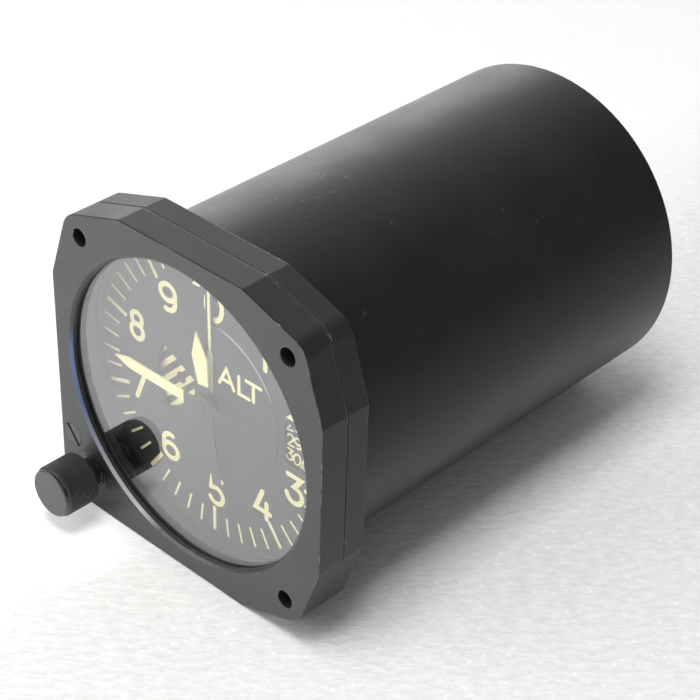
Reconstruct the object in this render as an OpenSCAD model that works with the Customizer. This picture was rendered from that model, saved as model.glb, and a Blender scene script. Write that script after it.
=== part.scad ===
// Aircraft altimeter with three pointers and a barometric setting knob.
// Every sub-part is drawn looking at the dial: x right, y up, z out of the dial towards the viewer.
// The flange's rear face is z = 0, and the finished part is turned so that the case runs along +Y.

/* [Panel fit] */

// Width and height of the square flange
flange_w = 82.55; // [76:0.05:90]
// Distance from the flange's edge to the middle of each screw hole
hole_edge = 9.905; // [9.4:0.005:10.4]
// Diameter of the mounting screw holes
mount_hole_d = 4.3; // [3.6:0.1:5]
// How far the flange stands out past the round case on each side
flange_rim = 1.575; // [1.4:0.025:2]

/* [Bezel] */

// Thickness of the bezel
bezel_t = 7.2; // [6.6:0.1:9]
// Thickness of the case flange
flange_t = 5.7; // [5.6:0.1:7]
// Thickness of the gasket between the bezel and the flange
case_gasket_t = 0.4; // [0.3:0.1:0.8]
// How far the case gasket stays back from the outline
case_gasket_inset = 0.2; // [0.2:0.1:1]
// Straight part of each side, as a share of the flange's width
flat_share = 0.446; // [0.4:0.002:0.5]
// Reach of the sharp corner that is then rounded, as a share of a full square corner
corner_share = 0.8617; // [0.85:0.0005:0.9]
// Rounding of the three slanted corners
corner_r = 6; // [4:0.5:8]
// Rounding of the corner that carries the knob
knob_corner_r = 10; // [8:0.5:11]
// Distance from the flange's flat side to the window
window_rim = 4.775; // [4.4:0.025:5.4]
// Chamfer around the window
window_chamfer = 0.7; // [0.6:0.1:1.3]
// Thickness of the lip in front of the glass
lip_t = 1.7; // [1.6:0.1:2.2]

/* [Glass] */

// How far the cover glass reaches under the lip
glass_lap = 1.4; // [1:0.1:1.6]
// Thickness of the cover glass
glass_t = 2; // [1.5:0.1:2.2]
// Thickness of the rubber gasket behind the glass
glass_gasket_t = 1.2; // [0.8:0.1:1.3]
// Thickness of the ring that holds the glass
ring_t = 1; // [0.8:0.1:1.1]

/* [Case] */

// Length of the case behind the flange
case_len = 109.7; // [106:0.1:120]
// Wall of the round case
case_wall = 2.8; // [2.4:0.1:2.9]
// Thickness of the rear wall
rear_wall = 3.2; // [2.5:0.1:5]
// Edge break around the rear face
rear_edge = 1; // [0.5:0.1:2]
// Bore of the static pressure port, the minor diameter of a 1/8 inch pipe thread
port_d = 8.7; // [8.4:0.1:9.2]
// Height of the static port above the axis
port_y = 20; // [16:0.5:22]

/* [Dial] */

// Depth of the dial behind the bezel's front face
dial_depth = 10.3; // [10.1:0.1:10.4]
// Thickness of the dial
dial_t = 0.6; // [0.5:0.05:0.65]
// Gap between the dial's edge and the well around it
dial_edge_gap = 0.8; // [0.4:0.1:1.2]
// Diameter of the raised centre disc
disc_d = 40; // [38.4:0.2:42]
// Thickness of the raised centre disc
disc_t = 0.3; // [0.2:0.05:0.35]
// Thickness of the barometric scale ring
baro_t = 0.6; // [0.5:0.05:0.65]

/* [Pointers] */

// Length of the 100 foot pointer
hundred_len = 28.3; // [26:0.1:30]
// Width of the 100 foot pointer
hundred_w = 2.8; // [2.4:0.1:3.4]
// Length of the 1000 foot pointer
thousand_len = 18.1; // [16:0.1:19]
// Greatest width of the 1000 foot pointer
thousand_w = 4.8; // [3.6:0.1:5]
// Length of the 1000 foot pointer's tail
thousand_tail = 20.5; // [16:0.1:22]
// Length of the 10000 foot pointer
ten_len = 34.5; // [32:0.1:35]
// Angle of the 100 foot pointer, clockwise from zero
hundred_at = 270; // [0:1:360]

/* [Setting knob] */

// Diameter of the knob
knob_d = 12.6; // [11:0.1:14]
// Distance from the bezel to the front of the knob
knob_reach = 12.5; // [11:0.1:15]
// Length of the knob
knob_len = 9.6; // [8.6:0.1:9.8]
// Diameter of the knob's shaft
knob_shaft_d = 5; // [4.4:0.1:5.2]
// Diameter of the lock screw's head
lock_head_d = 5.8; // [5:0.1:6]

/* [Gear train] */

// Module of the drive gears between the sector and the pointers
drive_m = 0.25; // [0.24:0.005:0.255]
// Module of the first pair in each ten to one stage
stage_m = 0.28; // [0.27:0.005:0.285]
// Thickness of the wheels
wheel_t = 0.8; // [0.6:0.1:0.9]
// Thickness of the mechanism's plates
plate_t = 2; // [1.8:0.1:2.4]
// Diameter of the mechanism's plates
plate_d = 66; // [64:0.5:67]

/* [Aneroid] */

// Diameter of an aneroid capsule
capsule_d = 32; // [28:0.5:33]
// Thickness of an aneroid capsule at its rim
capsule_t = 6; // [5:0.1:6.2]
// Length of the arm on the rocking shaft
arm_len = 9; // [8.6:0.1:9.4]

/* [Hidden] */

$fn = 64;
fit = 0.05;
gap = 0.3;
deep = 0.01;
in_bezel_z = flange_t + case_gasket_t;
front_z = in_bezel_z + bezel_t;
half = flange_w / 2;
hole_pitch = flange_w - 2 * hole_edge;
barrel_r = half - flange_rim;
bore_r = barrel_r - case_wall;
spigot_r = barrel_r - 1;
spigot_relief = 0.5;
knob_at = [-hole_pitch / 2, -hole_pitch / 2];
knob_axis_r = norm(knob_at);
window_r = half - window_rim;
glass_r = window_r + glass_lap;
rabbet_r = glass_r + 0.2;
glass_z = front_z - lip_t;
gasket_z = glass_z - glass_t;
ring_z = gasket_z - glass_gasket_t;
ring_r = rabbet_r + 0.7;
dial_z = front_z - dial_depth;
dial_back = dial_z - dial_t;
baro_z = dial_back - gap;
floor_z = baro_z - baro_t - gap;
boss_r = 21.42;
boss_in_r = 19.9;
baro_in_r = boss_r + 0.08;

// The movement is drawn for one bore of the case, and its plan follows the bore
movement_bore = 36.9;
plan = bore_r / movement_bore;
dm = drive_m * plan;
sm = stage_m * plan;

// Gear numbers. A stage of two pairs gives ten to one on one centre distance.
pin_n = 12;
stage_wheel_n = 48;
stage_pinion_n = 16;
stage_out_n = 40;
drive_wheel_n = 120;
sector_n = 240;
baro_pinion_n = 20;
baro_ring_n = 128;
stage_c = sm * (pin_n + stage_wheel_n) / 2;
out_m = 2 * stage_c / (stage_pinion_n + stage_out_n);
drive_c = dm * (pin_n + drive_wheel_n) / 2;
sector_c = dm * (pin_n + sector_n) / 2;
baro_m = 2 * knob_axis_r / (baro_pinion_n + baro_ring_n);
well_r = baro_m * (baro_ring_n / 2 + 0.8) + 0.45;
dial_r = well_r - dial_edge_gap;

// Shaft radii, each sleeve running on the one inside it
staff_r = 0.75;
sleeve_in = staff_r + fit;
sleeve_r = 1.25;
outer_in = sleeve_r + fit;
outer_r = 2;
pivot_r = 0.5;
jewel_r = 1.3;
arbor_r = 0.9;
wheel_arm = 1.2;

// Depths of the gear levels behind the front plate
level = wheel_t + 0.6;
front_back = floor_z - plate_t - 0.5;
l1 = front_back - 0.7;
l2 = l1 - level;
l3 = l2 - level;
l4 = l3 - level;
mid_z = l4 - wheel_t - 1;
mid_back = mid_z - plate_t;
l5 = mid_back - 0.8;
spring_z = l5 - wheel_t - 0.8;
spring_h = 0.8;
rear_z = spring_z - spring_h - 0.8;
rear_back = rear_z - plate_t;
l6 = rear_back - 0.8;
sector_t = 1;

// Places of the arbors in the plates
stage_one = 150;
stage_two = 270;
one_at = polar(stage_c, stage_one);
two_at = polar(stage_c, stage_two);
rock_at = [-15, -12] * plan;
rock_r = norm(rock_at);
rock_dir = atan2(rock_at[1], rock_at[0]);
drive_cos = (pow(drive_c, 2) + pow(rock_r, 2) - pow(sector_c, 2)) / (2 * drive_c * rock_r);
drive_dir = rock_dir + acos(drive_cos);
drive_at = polar(drive_c, drive_dir);
sector_dir = atan2(drive_at[1] - rock_at[1], drive_at[0] - rock_at[0]);
sector_lead = 3;
sector_sweep = 44;
pillar_r = 29 * plan;
plate_r = plate_d / 2 * plan;
pillar_angles = [100, 200, 304];
plate_nut_r = 1.8;
plate_nut_t = 1.4;
lug_r = bore_r - 3.7;
lug_boss_r = bore_r + 0.4 - lug_r;
lug_angles = [40, 160, 250];
lug_back = mid_z + 0.8;

// Aneroid stack, hanging from its frame behind the plates. The arm starts above level and ends as far below.
capsule_n = 3;
capsule_r = capsule_d / 2 * plan;
arm_rest = 17.55;
arm_r = arm_len * plan;
arm_pin = rock_at + polar(arm_r, arm_rest);
capsule_x = rock_at[0] + arm_r * (1 + cos(arm_rest)) / 2;
capsule_z = l6 - sector_t - 34;
base_y = 29 * plan;
base_t = 3;
stack_y = base_y - base_t - 1;
stack_h = capsule_n * capsule_t;
head_y = stack_y - stack_h;
pin_y = head_y - 6;
link_pin_r = 0.5;
link_play = 0.5;
frame_w = 28 * plan;
frame_screw_y = base_y - 6;
frame_back = capsule_z - capsule_r - 4;
upright_t = 3;

// Pointers
pointer_t = 0.3;
hundred_z = dial_z + 3.1;
thousand_z = dial_z + 2;
ten_z = dial_z + disc_t + 0.15;
ten_t = 0.25;
thousand_at = (hundred_at - 360) / 10;
ten_at = thousand_at / 10;
flag_z = dial_back - 0.75;
flag_t = 0.3;
flag_in = 5.6;
flag_out = 17.3;

// Screws, as angles clockwise from the top
bezel_screw_r = knob_axis_r - 1.36;
bezel_screw_at = [33, 147, 209, 303];
bezel_screw_d = 2;
bezel_screw_end = in_bezel_z + 4.2;
lock_at = knob_at + [-6.13, 7.17];
lock_deep = 7;
shaft_r = knob_shaft_d / 2;
bush_neck_r = shaft_r + 0.9;
bush_r = shaft_r + 1.9;
bush_shoulder_r = bush_r + 0.6;
bush_stand = knob_reach - knob_len - gap;
bush_back = in_bezel_z - 1;
seal_r = 0.65;
knob_pivot_r = 1.2;
pinion_t = baro_t + gap;
pocket_r = baro_m * baro_pinion_n / 2 + baro_m + 0.6;

function polar(r, a) = [r * cos(a), r * sin(a)];
function clock(r, a) = [r * sin(a), r * cos(a)];
function arc(c, r, a0, a1, n = 12) = [for (i = [0:n]) c + polar(r, a0 + (a1 - a0) * i / n)];

// Involute gear outline: the tooth's half angle at a radius, then the points of all teeth
function roll(rb, r) = let (a = acos(min(1, rb / r))) tan(a) * 180 / PI - a;
function gear_points(m, n, add = 0.8, ded = 1.1, slack = 0.07, from = 0, to = 0) =
  let (
    r = m * n / 2,
    rb = r * cos(20),
    ra = r + add * m,
    rf = r - ded * m,
    rs = max(rb, rf + deep),
    radii = [rf, rs, (rs + ra) / 2, ra],
    half_at = [for (q = radii) 90 / n - slack * m / r * 180 / PI + roll(rb, r) - roll(rb, max(q, rs))],
    count = to > from ? to : n
  )
  [for (i = [from:count - 1]) for (s = [-1, 1]) for (k = [0:3])
    let (j = s < 0 ? k : 3 - k) polar(radii[j], i * 360 / n + s * half_at[j])];

module as_mounted() {
  rotate([90, 0, 0]) children();
}

// A disc or rod from one depth to another
module rod(r, z0, z1, at = [0, 0]) {
  translate([at[0], at[1], min(z0, z1)]) cylinder(r = r, h = abs(z1 - z0));
}

module tube(r, r_in, z0, z1, at = [0, 0]) {
  difference() {
    rod(r, z0, z1, at);
    rod(r_in, min(z0, z1) - 1, max(z0, z1) + 1, at);
  }
}

module gear(m, n, z, t, turn, at = [0, 0]) {
  translate([at[0], at[1], z - t]) rotate(turn) linear_extrude(t) polygon(gear_points(m, n));
}

// A wheel with a bore and four openings between its arms
module wheel(m, n, z, t, turn, at, bore) {
  rim = m * n / 2 - 2.2 * m - 0.4;
  hole = (rim - bore - 1.2) / 2;
  hole_at = bore + 0.8 + hole;
  hole_r = min(hole * 0.9, hole_at * sin(45) - wheel_arm / 2);
  difference() {
    gear(m, n, z, t, turn, at);
    rod(bore, z - t - 1, z + 1, at);
    if (hole > 1)
      for (a = [0:90:270])
        rod(hole_r, z - t - 1, z + 1, at + polar(hole_at, a + 45));
  }
}

// The flange's outline: three slanted corners and one full corner for the knob
module outline(inset = 0) {
  h = half - inset;
  f = flat_share * half;
  c = corner_share * half - inset / sqrt(2);
  slope = atan2(h - c, c - f);
  turn = 45 - slope;
  o = c - corner_r / cos(turn) / sqrt(2);
  k = knob_corner_r - inset;
  e = h - k;
  polygon(concat(
    arc([o, o], corner_r, slope, 90 - slope),
    [[f, h], [-f, h]],
    arc([-o, o], corner_r, 90 + slope, 180 - slope),
    [[-h, f]],
    arc([-e, -e], k, 180, 270),
    [[f, -h]],
    arc([o, -o], corner_r, 270 + slope, 360 - slope),
    [[h, -f], [h, f]]
  ));
}

module flange_plate(z, t, inset = 0) {
  translate([0, 0, z]) linear_extrude(t) outline(inset);
}

module mount_holes(z0, z1) {
  for (s = [[-1, 1], [1, 1], [1, -1]])
    rod(mount_hole_d / 2, z0, z1, s * hole_pitch / 2);
}

module bezel_screw_holes(r, z0, z1) {
  for (a = bezel_screw_at)
    rod(r, z0, z1, clock(bezel_screw_r, a));
}

module countersunk(r, head_r, z_head, z_end, at) {
  translate([at[0], at[1], 0]) rotate_extrude()
    polygon([
      [0, z_head], [head_r, z_head], [r, z_head + sign(z_end - z_head) * (head_r - r)], [r, z_end], [0, z_end]
    ]);
}

module case() {
  color([0.16, 0.16, 0.17]) difference() {
    union() {
      rotate_extrude() polygon([
        [bore_r, floor_z], [spigot_r, floor_z], [spigot_r, 0], [barrel_r, 0],
        [barrel_r, rear_edge - case_len],
        [barrel_r - rear_edge, -case_len], [0, -case_len], [0, rear_wall - case_len],
        [bore_r, rear_wall - case_len]
      ]);
      rod(port_d / 2 + 3.2, rear_wall - case_len - deep, rear_wall - case_len + 6, [0, port_y]);
      intersection() {
        for (a = lug_angles)
          rod(lug_boss_r, front_back, lug_back, polar(lug_r, a));
        rod(bore_r + 0.5, front_back + 1, lug_back - 1);
      }
    }
    rod(port_d / 2, -case_len - 1, rear_wall - case_len + 7, [0, port_y]);
    for (a = lug_angles)
      rod(1 + fit, lug_back - 1, front_back + 1, polar(lug_r, a));
  }
}

// The flange ring, with the case tube's spigot pressed into its rear.
// It has a well for the scale ring and a pocket for the ring's pinion.
module flange() {
  color([0.16, 0.16, 0.17]) difference() {
    flange_plate(0, flange_t);
    rod(spigot_r, -1, floor_z);
    rod(barrel_r + 0.1, -1, spigot_relief);
    rod(well_r, floor_z - deep, flange_t + 1);
    rod(pocket_r, floor_z, flange_t + 1, knob_at);
    rod(knob_pivot_r + fit, floor_z - 0.7, floor_z + 1, knob_at);
    mount_holes(-1, flange_t + 1);
    for (a = bezel_screw_at)
      countersunk(bezel_screw_d / 2 + fit, bezel_screw_d + fit, -deep, flange_t + 1, clock(bezel_screw_r, a));
  }
}

module bezel() {
  color([0.2, 0.2, 0.21]) difference() {
    flange_plate(in_bezel_z, bezel_t);
    rotate_extrude() polygon([
      [0, in_bezel_z - 1], [rabbet_r, in_bezel_z - 1], [rabbet_r, ring_z - ring_t], [ring_r, ring_z - ring_t],
      [ring_r, ring_z], [rabbet_r, ring_z], [rabbet_r, glass_z], [window_r, glass_z],
      [window_r, front_z - window_chamfer], [window_r + window_chamfer + 1, front_z + 1], [0, front_z + 1]
    ]);
    mount_holes(in_bezel_z - 1, front_z + 1);
    bezel_screw_holes(bezel_screw_d / 2 + fit, in_bezel_z - 1, bezel_screw_end + 0.4);
    rod(bush_r + fit, in_bezel_z - 1, front_z + 1, knob_at);
    rod(lock_head_d / 2 + 0.1, front_z - 2, front_z + 1, lock_at);
    rod(1.5, front_z - lock_deep - deep, front_z + 1, lock_at);
  }
}

module case_gasket() {
  color([0.08, 0.08, 0.08]) difference() {
    flange_plate(flange_t, case_gasket_t, case_gasket_inset);
    rod(well_r, flange_t - 1, front_z);
    rod(pocket_r, flange_t - 1, front_z, knob_at);
    mount_holes(flange_t - 1, front_z);
    bezel_screw_holes(bezel_screw_d / 2 + fit, flange_t - 1, front_z);
  }
}

module bezel_screws() {
  color([0.5, 0.5, 0.5])
    for (a = bezel_screw_at)
      difference() {
        countersunk(bezel_screw_d / 2, bezel_screw_d, 0, bezel_screw_end, clock(bezel_screw_r, a));
        translate(concat(clock(bezel_screw_r, a), [0])) cube([5, 0.5, 1], center = true);
      }
}

module cover_glass() {
  color([0.8, 0.9, 0.95, 0.3]) rod(glass_r, gasket_z, glass_z);
}

module glass_gasket() {
  color([0.05, 0.05, 0.05]) tube(glass_r, window_r + 0.3, ring_z, gasket_z);
}

module retaining_ring() {
  color([0.1, 0.1, 0.1]) difference() {
    tube(ring_r - 0.1, window_r + 0.3, ring_z - ring_t, ring_z);
    rotate(45) translate([0, -2, ring_z - ring_t - 1]) cube([60, 4, ring_t + 2]);
  }
}

module lock_screw() {
  color([0.25, 0.24, 0.2]) difference() {
    union() {
      rod(lock_head_d / 2, front_z - 2, front_z, lock_at);
      rod(1.4, front_z - lock_deep, front_z - 1, lock_at);
    }
    translate(concat(lock_at, [front_z])) rotate(-52) cube([8, 0.8, 1.6], center = true);
  }
}

module knob() {
  z0 = front_z + knob_reach - knob_len;
  color([0.14, 0.14, 0.15]) difference() {
    translate(concat(knob_at, [0])) rotate_extrude() polygon([
      [0, z0], [knob_d / 2 - 0.4, z0], [knob_d / 2, z0 + 0.4], [knob_d / 2, z0 + knob_len - 0.5],
      [knob_d / 2 - 0.5, z0 + knob_len], [0, z0 + knob_len]
    ]);
    rod(shaft_r, z0 - 1, z0 + knob_len - 2.6, knob_at);
    translate(concat(knob_at, [z0 + 3])) rotate([0, 90, 205]) cylinder(r = 0.8, h = knob_d);
  }
}

module knob_set_screw() {
  z0 = front_z + knob_reach - knob_len;
  color([0.4, 0.4, 0.4]) difference() {
    translate(concat(knob_at, [z0 + 3])) rotate([0, 90, 205]) translate([0, 0, shaft_r])
      cylinder(r = 0.8, h = knob_d / 2 - shaft_r - 0.4);
    rod(shaft_r, z0 - 1, z0 + knob_len, knob_at);
  }
}

module knob_shaft() {
  z1 = front_z + knob_reach - 2.6;
  color([0.6, 0.6, 0.6]) union() {
    rod(shaft_r, baro_z + 0.1, z1, knob_at);
    rod(1.5, floor_z + 0.15, baro_z + 0.2, knob_at);
    rod(knob_pivot_r, floor_z - 0.6, floor_z + 0.2, knob_at);
  }
}

module knob_pinion() {
  color([0.75, 0.62, 0.3]) difference() {
    gear(baro_m, baro_pinion_n, baro_z + 0.1, pinion_t, 45, knob_at);
    rod(1.5, floor_z - 1, baro_z + 1, knob_at);
  }
}

module knob_bushing() {
  color([0.1, 0.1, 0.1]) difference() {
    union() {
      rod(bush_shoulder_r, bush_back, in_bezel_z, knob_at);
      rod(bush_r, bush_back, front_z, knob_at);
      rod(bush_neck_r, bush_back, front_z + bush_stand, knob_at);
    }
    rod(shaft_r + fit, bush_back - 1, front_z + bush_stand + 1, knob_at);
    rod(shaft_r + 1.45, front_z - 3.5, front_z - 2, knob_at);
  }
}

module shaft_seal() {
  color([0.06, 0.06, 0.06]) translate(concat(knob_at, [front_z - 2.75])) rotate_extrude()
    translate([shaft_r + 0.07 + seal_r, 0]) circle(r = seal_r, $fn = 32);
}

// A ring sector between two clock angles, cut from a disc
module ring_sector(r0, r1, a0, a1, z0, z1) {
  translate([0, 0, min(z0, z1)]) linear_extrude(abs(z1 - z0))
    polygon(concat(arc([0, 0], r0, 90 - a0, 90 - a1, 16), arc([0, 0], r1, 90 - a1, 90 - a0, 24)));
}

module dial() {
  color([0.1, 0.1, 0.1]) {
    difference() {
      rod(dial_r, dial_back, dial_z);
      rod(outer_r + 1, dial_back - 1, dial_z + 1);
      translate([21.6, -4.6, dial_back - 1]) cube([9.4, 10.4, dial_t + 2]);
      ring_sector(flag_in, flag_out, 238, 296.5, dial_back - 1, dial_z + 1);
    }
    for (a = [30, 150, 270])
      rod(0.5, dial_back - 1.2, dial_back + deep, polar((boss_r + boss_in_r) / 2, a));
  }
}

module centre_disc() {
  color([0.11, 0.11, 0.11]) difference() {
    rotate_extrude() polygon([
      [0, dial_z], [disc_d / 2, dial_z], [disc_d / 2, dial_z + disc_t / 2],
      [disc_d / 2 - disc_t / 2, dial_z + disc_t], [0, dial_z + disc_t]
    ]);
    rod(outer_r + 1, dial_z - 1, dial_z + 1);
    ring_sector(flag_in, flag_out, 238, 296.5, dial_z - 1, dial_z + 1);
  }
}

module baro_ring() {
  color([0.12, 0.12, 0.12]) difference() {
    gear(baro_m, baro_ring_n, baro_z, baro_t, 225 + 180 / baro_ring_n);
    rod(baro_in_r, baro_z - 2, baro_z + 1);
  }
}

module hundred_foot_pointer() {
  w = hundred_w / 2;
  color([0.95, 0.92, 0.75]) rotate(-hundred_at) difference() {
    union() {
      translate([0, 0, hundred_z]) linear_extrude(pointer_t)
        polygon([[-w, 0], [w, 0], [w, hundred_len - 4.5], [0, hundred_len], [-w, hundred_len - 4.5]]);
      translate([0, 0, hundred_z]) linear_extrude(pointer_t)
        polygon([[-1, -9], [1, -9], [1.5, 0], [-1.5, 0]]);
      rod(3.2, hundred_z, hundred_z + pointer_t);
    }
    rod(staff_r, hundred_z - 1, hundred_z + 1);
  }
}

module thousand_foot_pointer() {
  w = thousand_w / 2;
  color([0.95, 0.92, 0.75]) rotate(-thousand_at) difference() {
    union() {
      translate([0, 0, thousand_z]) linear_extrude(pointer_t) polygon([
        [-1.5, 0], [1.5, 0], [1.5, 4], [w, thousand_len * 0.65], [0, thousand_len], [-w, thousand_len * 0.65],
        [-1.5, 4]
      ]);
      translate([0, 0, thousand_z]) linear_extrude(pointer_t)
        polygon([[-1.3, -thousand_tail], [1.3, -thousand_tail], [1.5, 0], [-1.5, 0]]);
      rod(3, thousand_z, thousand_z + pointer_t);
    }
    rod(sleeve_r, thousand_z - 1, thousand_z + 1);
  }
}

module ten_thousand_foot_pointer() {
  tip = ten_len - 6.5;
  color([0.95, 0.92, 0.75]) rotate(-ten_at) difference() {
    union() {
      translate([0, 0, ten_z]) linear_extrude(ten_t) polygon([
        [-1.3, 0], [1.3, 0], [1.3, 12.9], [1, 13.4], [1, tip], [5, tip], [0, ten_len], [-5, tip], [-1, tip],
        [-1, 13.4], [-1.3, 12.9]
      ]);
      rod(3.6, ten_z, ten_z + ten_t);
    }
    rod(outer_r, ten_z - 1, ten_z + 1);
  }
}

module warning_flag() {
  color([0.9, 0.87, 0.7]) rotate(-ten_at) difference() {
    union() {
      ring_sector(3, flag_out + 1.2, 216, 306, flag_z, flag_z + flag_t);
      rod(4, flag_z, flag_z + flag_t);
    }
    rod(outer_r, flag_z - 1, flag_z + 1);
  }
}

module front_plate() {
  color([0.72, 0.6, 0.32]) difference() {
    union() {
      rod(bore_r - 0.3, front_back, floor_z);
      tube(boss_r, boss_in_r, floor_z - deep, dial_back);
    }
    rod(outer_r + fit, front_back - 1, floor_z + 1);
    for (p = [one_at, two_at])
      rod(jewel_r, front_back - 1, floor_z + 1, p);
    for (a = [30, 150, 270])
      rod(0.5 + fit, dial_back - 1.4, dial_back + 1, polar((boss_r + boss_in_r) / 2, a));
    for (a = lug_angles)
      countersunk(1 + fit, 2 + fit, floor_z + deep, front_back - 1, polar(lug_r, a));
    for (a = pillar_angles)
      countersunk(1 + fit, 2 + fit, floor_z + deep, front_back - 1, polar(pillar_r, a));
  }
}

module plain_plate(z, bores) {
  difference() {
    rod(plate_r, z - plate_t, z);
    for (p = bores)
      rod(jewel_r, z - plate_t - 1, z + 1, p);
    for (a = pillar_angles)
      rod(1 + fit, z - plate_t - 1, z + 1, polar(pillar_r, a));
    children();
  }
}

module middle_plate() {
  color([0.72, 0.6, 0.32]) plain_plate(mid_z, [one_at, two_at, drive_at]) {
    rod(staff_r + gap, mid_back - 1, mid_z + 1);
    rod(0.6 + fit, mid_back - 1, mid_z + 1, polar(6.4, 75));
    for (a = [35, 105, 225])
      rod(6 * plan, mid_back - 1, mid_z + 1, polar(20.5 * plan, a));
  }
}

module rear_plate() {
  color([0.72, 0.6, 0.32]) plain_plate(rear_z, [[0, 0], drive_at, rock_at]) {
    for (x = [-8, 8])
      rod(1 + fit, rear_back - 1, rear_z + 1, [capsule_x + x, frame_screw_y]);
  }
}

module pillars() {
  color([0.7, 0.7, 0.68])
    for (a = pillar_angles)
      for (z = [[front_back, mid_z], [mid_back, rear_z]])
        difference() {
          rod(2.2, z[0], z[1], polar(pillar_r, a));
          rod(1 + fit, z[1] - 1, z[0] + 1, polar(pillar_r, a));
        }
}

module plate_screws() {
  color([0.55, 0.55, 0.55])
    for (a = pillar_angles) {
      p = polar(pillar_r, a);
      countersunk(1, 2, floor_z, (mid_z + mid_back) / 2 + 0.1, p);
      rod(1, (mid_z + mid_back) / 2 - 0.1, rear_back - 0.5, p);
      rod(plate_nut_r, rear_back - plate_nut_t, rear_back, p);
    }
}

module mechanism_screws() {
  color([0.55, 0.55, 0.55])
    for (a = lug_angles)
      countersunk(1, 2, floor_z, lug_back + 0.5, polar(lug_r, a));
}

module jewel(z, t, at, hole) {
  tube(jewel_r, hole + fit, z - t, z, at);
}

module jewel_bearings() {
  color([0.7, 0.1, 0.2]) {
    for (p = [one_at, two_at]) {
      jewel(floor_z - 1, plate_t - 0.5, p, pivot_r);
      jewel(mid_z, plate_t - 0.5, p, pivot_r);
    }
    jewel(mid_back + plate_t - 0.5, plate_t - 0.5, drive_at, pivot_r);
    jewel(rear_z, plate_t - 0.5, [0, 0], pivot_r);
    jewel(rear_z, plate_t, drive_at, arbor_r);
    jewel(rear_back + plate_t - 0.5, plate_t - 0.5, rock_at, pivot_r);
    jewel(frame_back + upright_t, upright_t - 0.5, rock_at, pivot_r);
  }
}

module pointer_staff() {
  color([0.7, 0.7, 0.7]) union() {
    rod(staff_r, rear_z + 0.3, hundred_z + pointer_t + 0.3);
    rod(pivot_r, rear_z - 1.2, rear_z + 1);
    gear(sm, pin_n, l4 + 0.1, wheel_t + 0.2, stage_one);
    gear(dm, pin_n, l5 + 0.1, wheel_t + 0.2, drive_dir);
    rod(1.2, spring_z - spring_h, spring_z);
  }
}

module thousand_sleeve() {
  color([0.7, 0.7, 0.7]) difference() {
    union() {
      rod(sleeve_r, l3 - wheel_t - 0.3, thousand_z + pointer_t + 0.2);
      gear(sm, pin_n, l2 + 0.1, wheel_t + 0.2, stage_two);
    }
    rod(sleeve_in, l4, hundred_z);
  }
}

module thousand_wheel() {
  color([0.78, 0.64, 0.3])
    wheel(out_m, stage_out_n, l3, wheel_t, stage_one + 180 / stage_out_n, [0, 0], sleeve_r);
}

module ten_thousand_sleeve() {
  color([0.7, 0.7, 0.7]) tube(outer_r, outer_in, l1 - wheel_t - 0.2, ten_z + ten_t + 0.15);
}

module ten_thousand_wheel() {
  color([0.78, 0.64, 0.3])
    wheel(out_m, stage_out_n, l1, wheel_t, stage_two + 180 / stage_out_n, [0, 0], outer_r);
}

// An arbor between two plates, with a pivot at each end and one pinion
module stage_arbor(at, turn, z) {
  union() {
    rod(arbor_r, mid_z + 0.3, front_back - 0.3, at);
    rod(pivot_r, mid_z - 1.2, front_back + 1.2, at);
    gear(out_m, stage_pinion_n, z + 0.1, wheel_t + 0.2, turn + 180, at);
  }
}

module first_arbor() {
  color([0.7, 0.7, 0.7]) stage_arbor(one_at, stage_one, l3);
}

module first_wheel() {
  color([0.78, 0.64, 0.3])
    wheel(sm, stage_wheel_n, l4, wheel_t, stage_one + 180 + 180 / stage_wheel_n, one_at, arbor_r);
}

module second_arbor() {
  color([0.7, 0.7, 0.7]) stage_arbor(two_at, stage_two, l1);
}

module second_wheel() {
  color([0.78, 0.64, 0.3])
    wheel(sm, stage_wheel_n, l2, wheel_t, stage_two + 180 + 180 / stage_wheel_n, two_at, arbor_r);
}

module drive_arbor() {
  color([0.7, 0.7, 0.7]) union() {
    rod(arbor_r, l6 - sector_t - 0.4, mid_back - 0.3, drive_at);
    rod(pivot_r, mid_back - 1, mid_back + 1.2, drive_at);
    gear(dm, pin_n, l6 + 0.1, sector_t + 0.2, sector_dir + 180, drive_at);
  }
}

module drive_wheel() {
  color([0.78, 0.64, 0.3])
    wheel(dm, drive_wheel_n, l5, wheel_t, drive_dir + 180 + 180 / drive_wheel_n, drive_at, arbor_r);
}

// Flat spiral from the collet on the staff out to its stud
module hairspring() {
  turns = 4;
  r0 = 1.3;
  r1 = 5.9;
  w = 0.12;
  n = 96;
  function at(i, s) = polar(r0 + (r1 - r0) * i / n + s * w, 75 + 360 * turns * i / n);
  color([0.5, 0.55, 0.7]) translate([0, 0, spring_z - spring_h]) linear_extrude(spring_h)
    polygon(concat([for (i = [0:n]) at(i, 0)], [for (i = [n:-1:0]) at(i, 1)]));
}

module hairspring_stud() {
  color([0.7, 0.6, 0.35]) union() {
    rod(0.6, mid_back + plate_t - 0.2, l5 + deep, polar(6.4, 75));
    rod(0.3, spring_z - spring_h, l5 + 0.2, polar(6.4, 75));
  }
}

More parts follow.
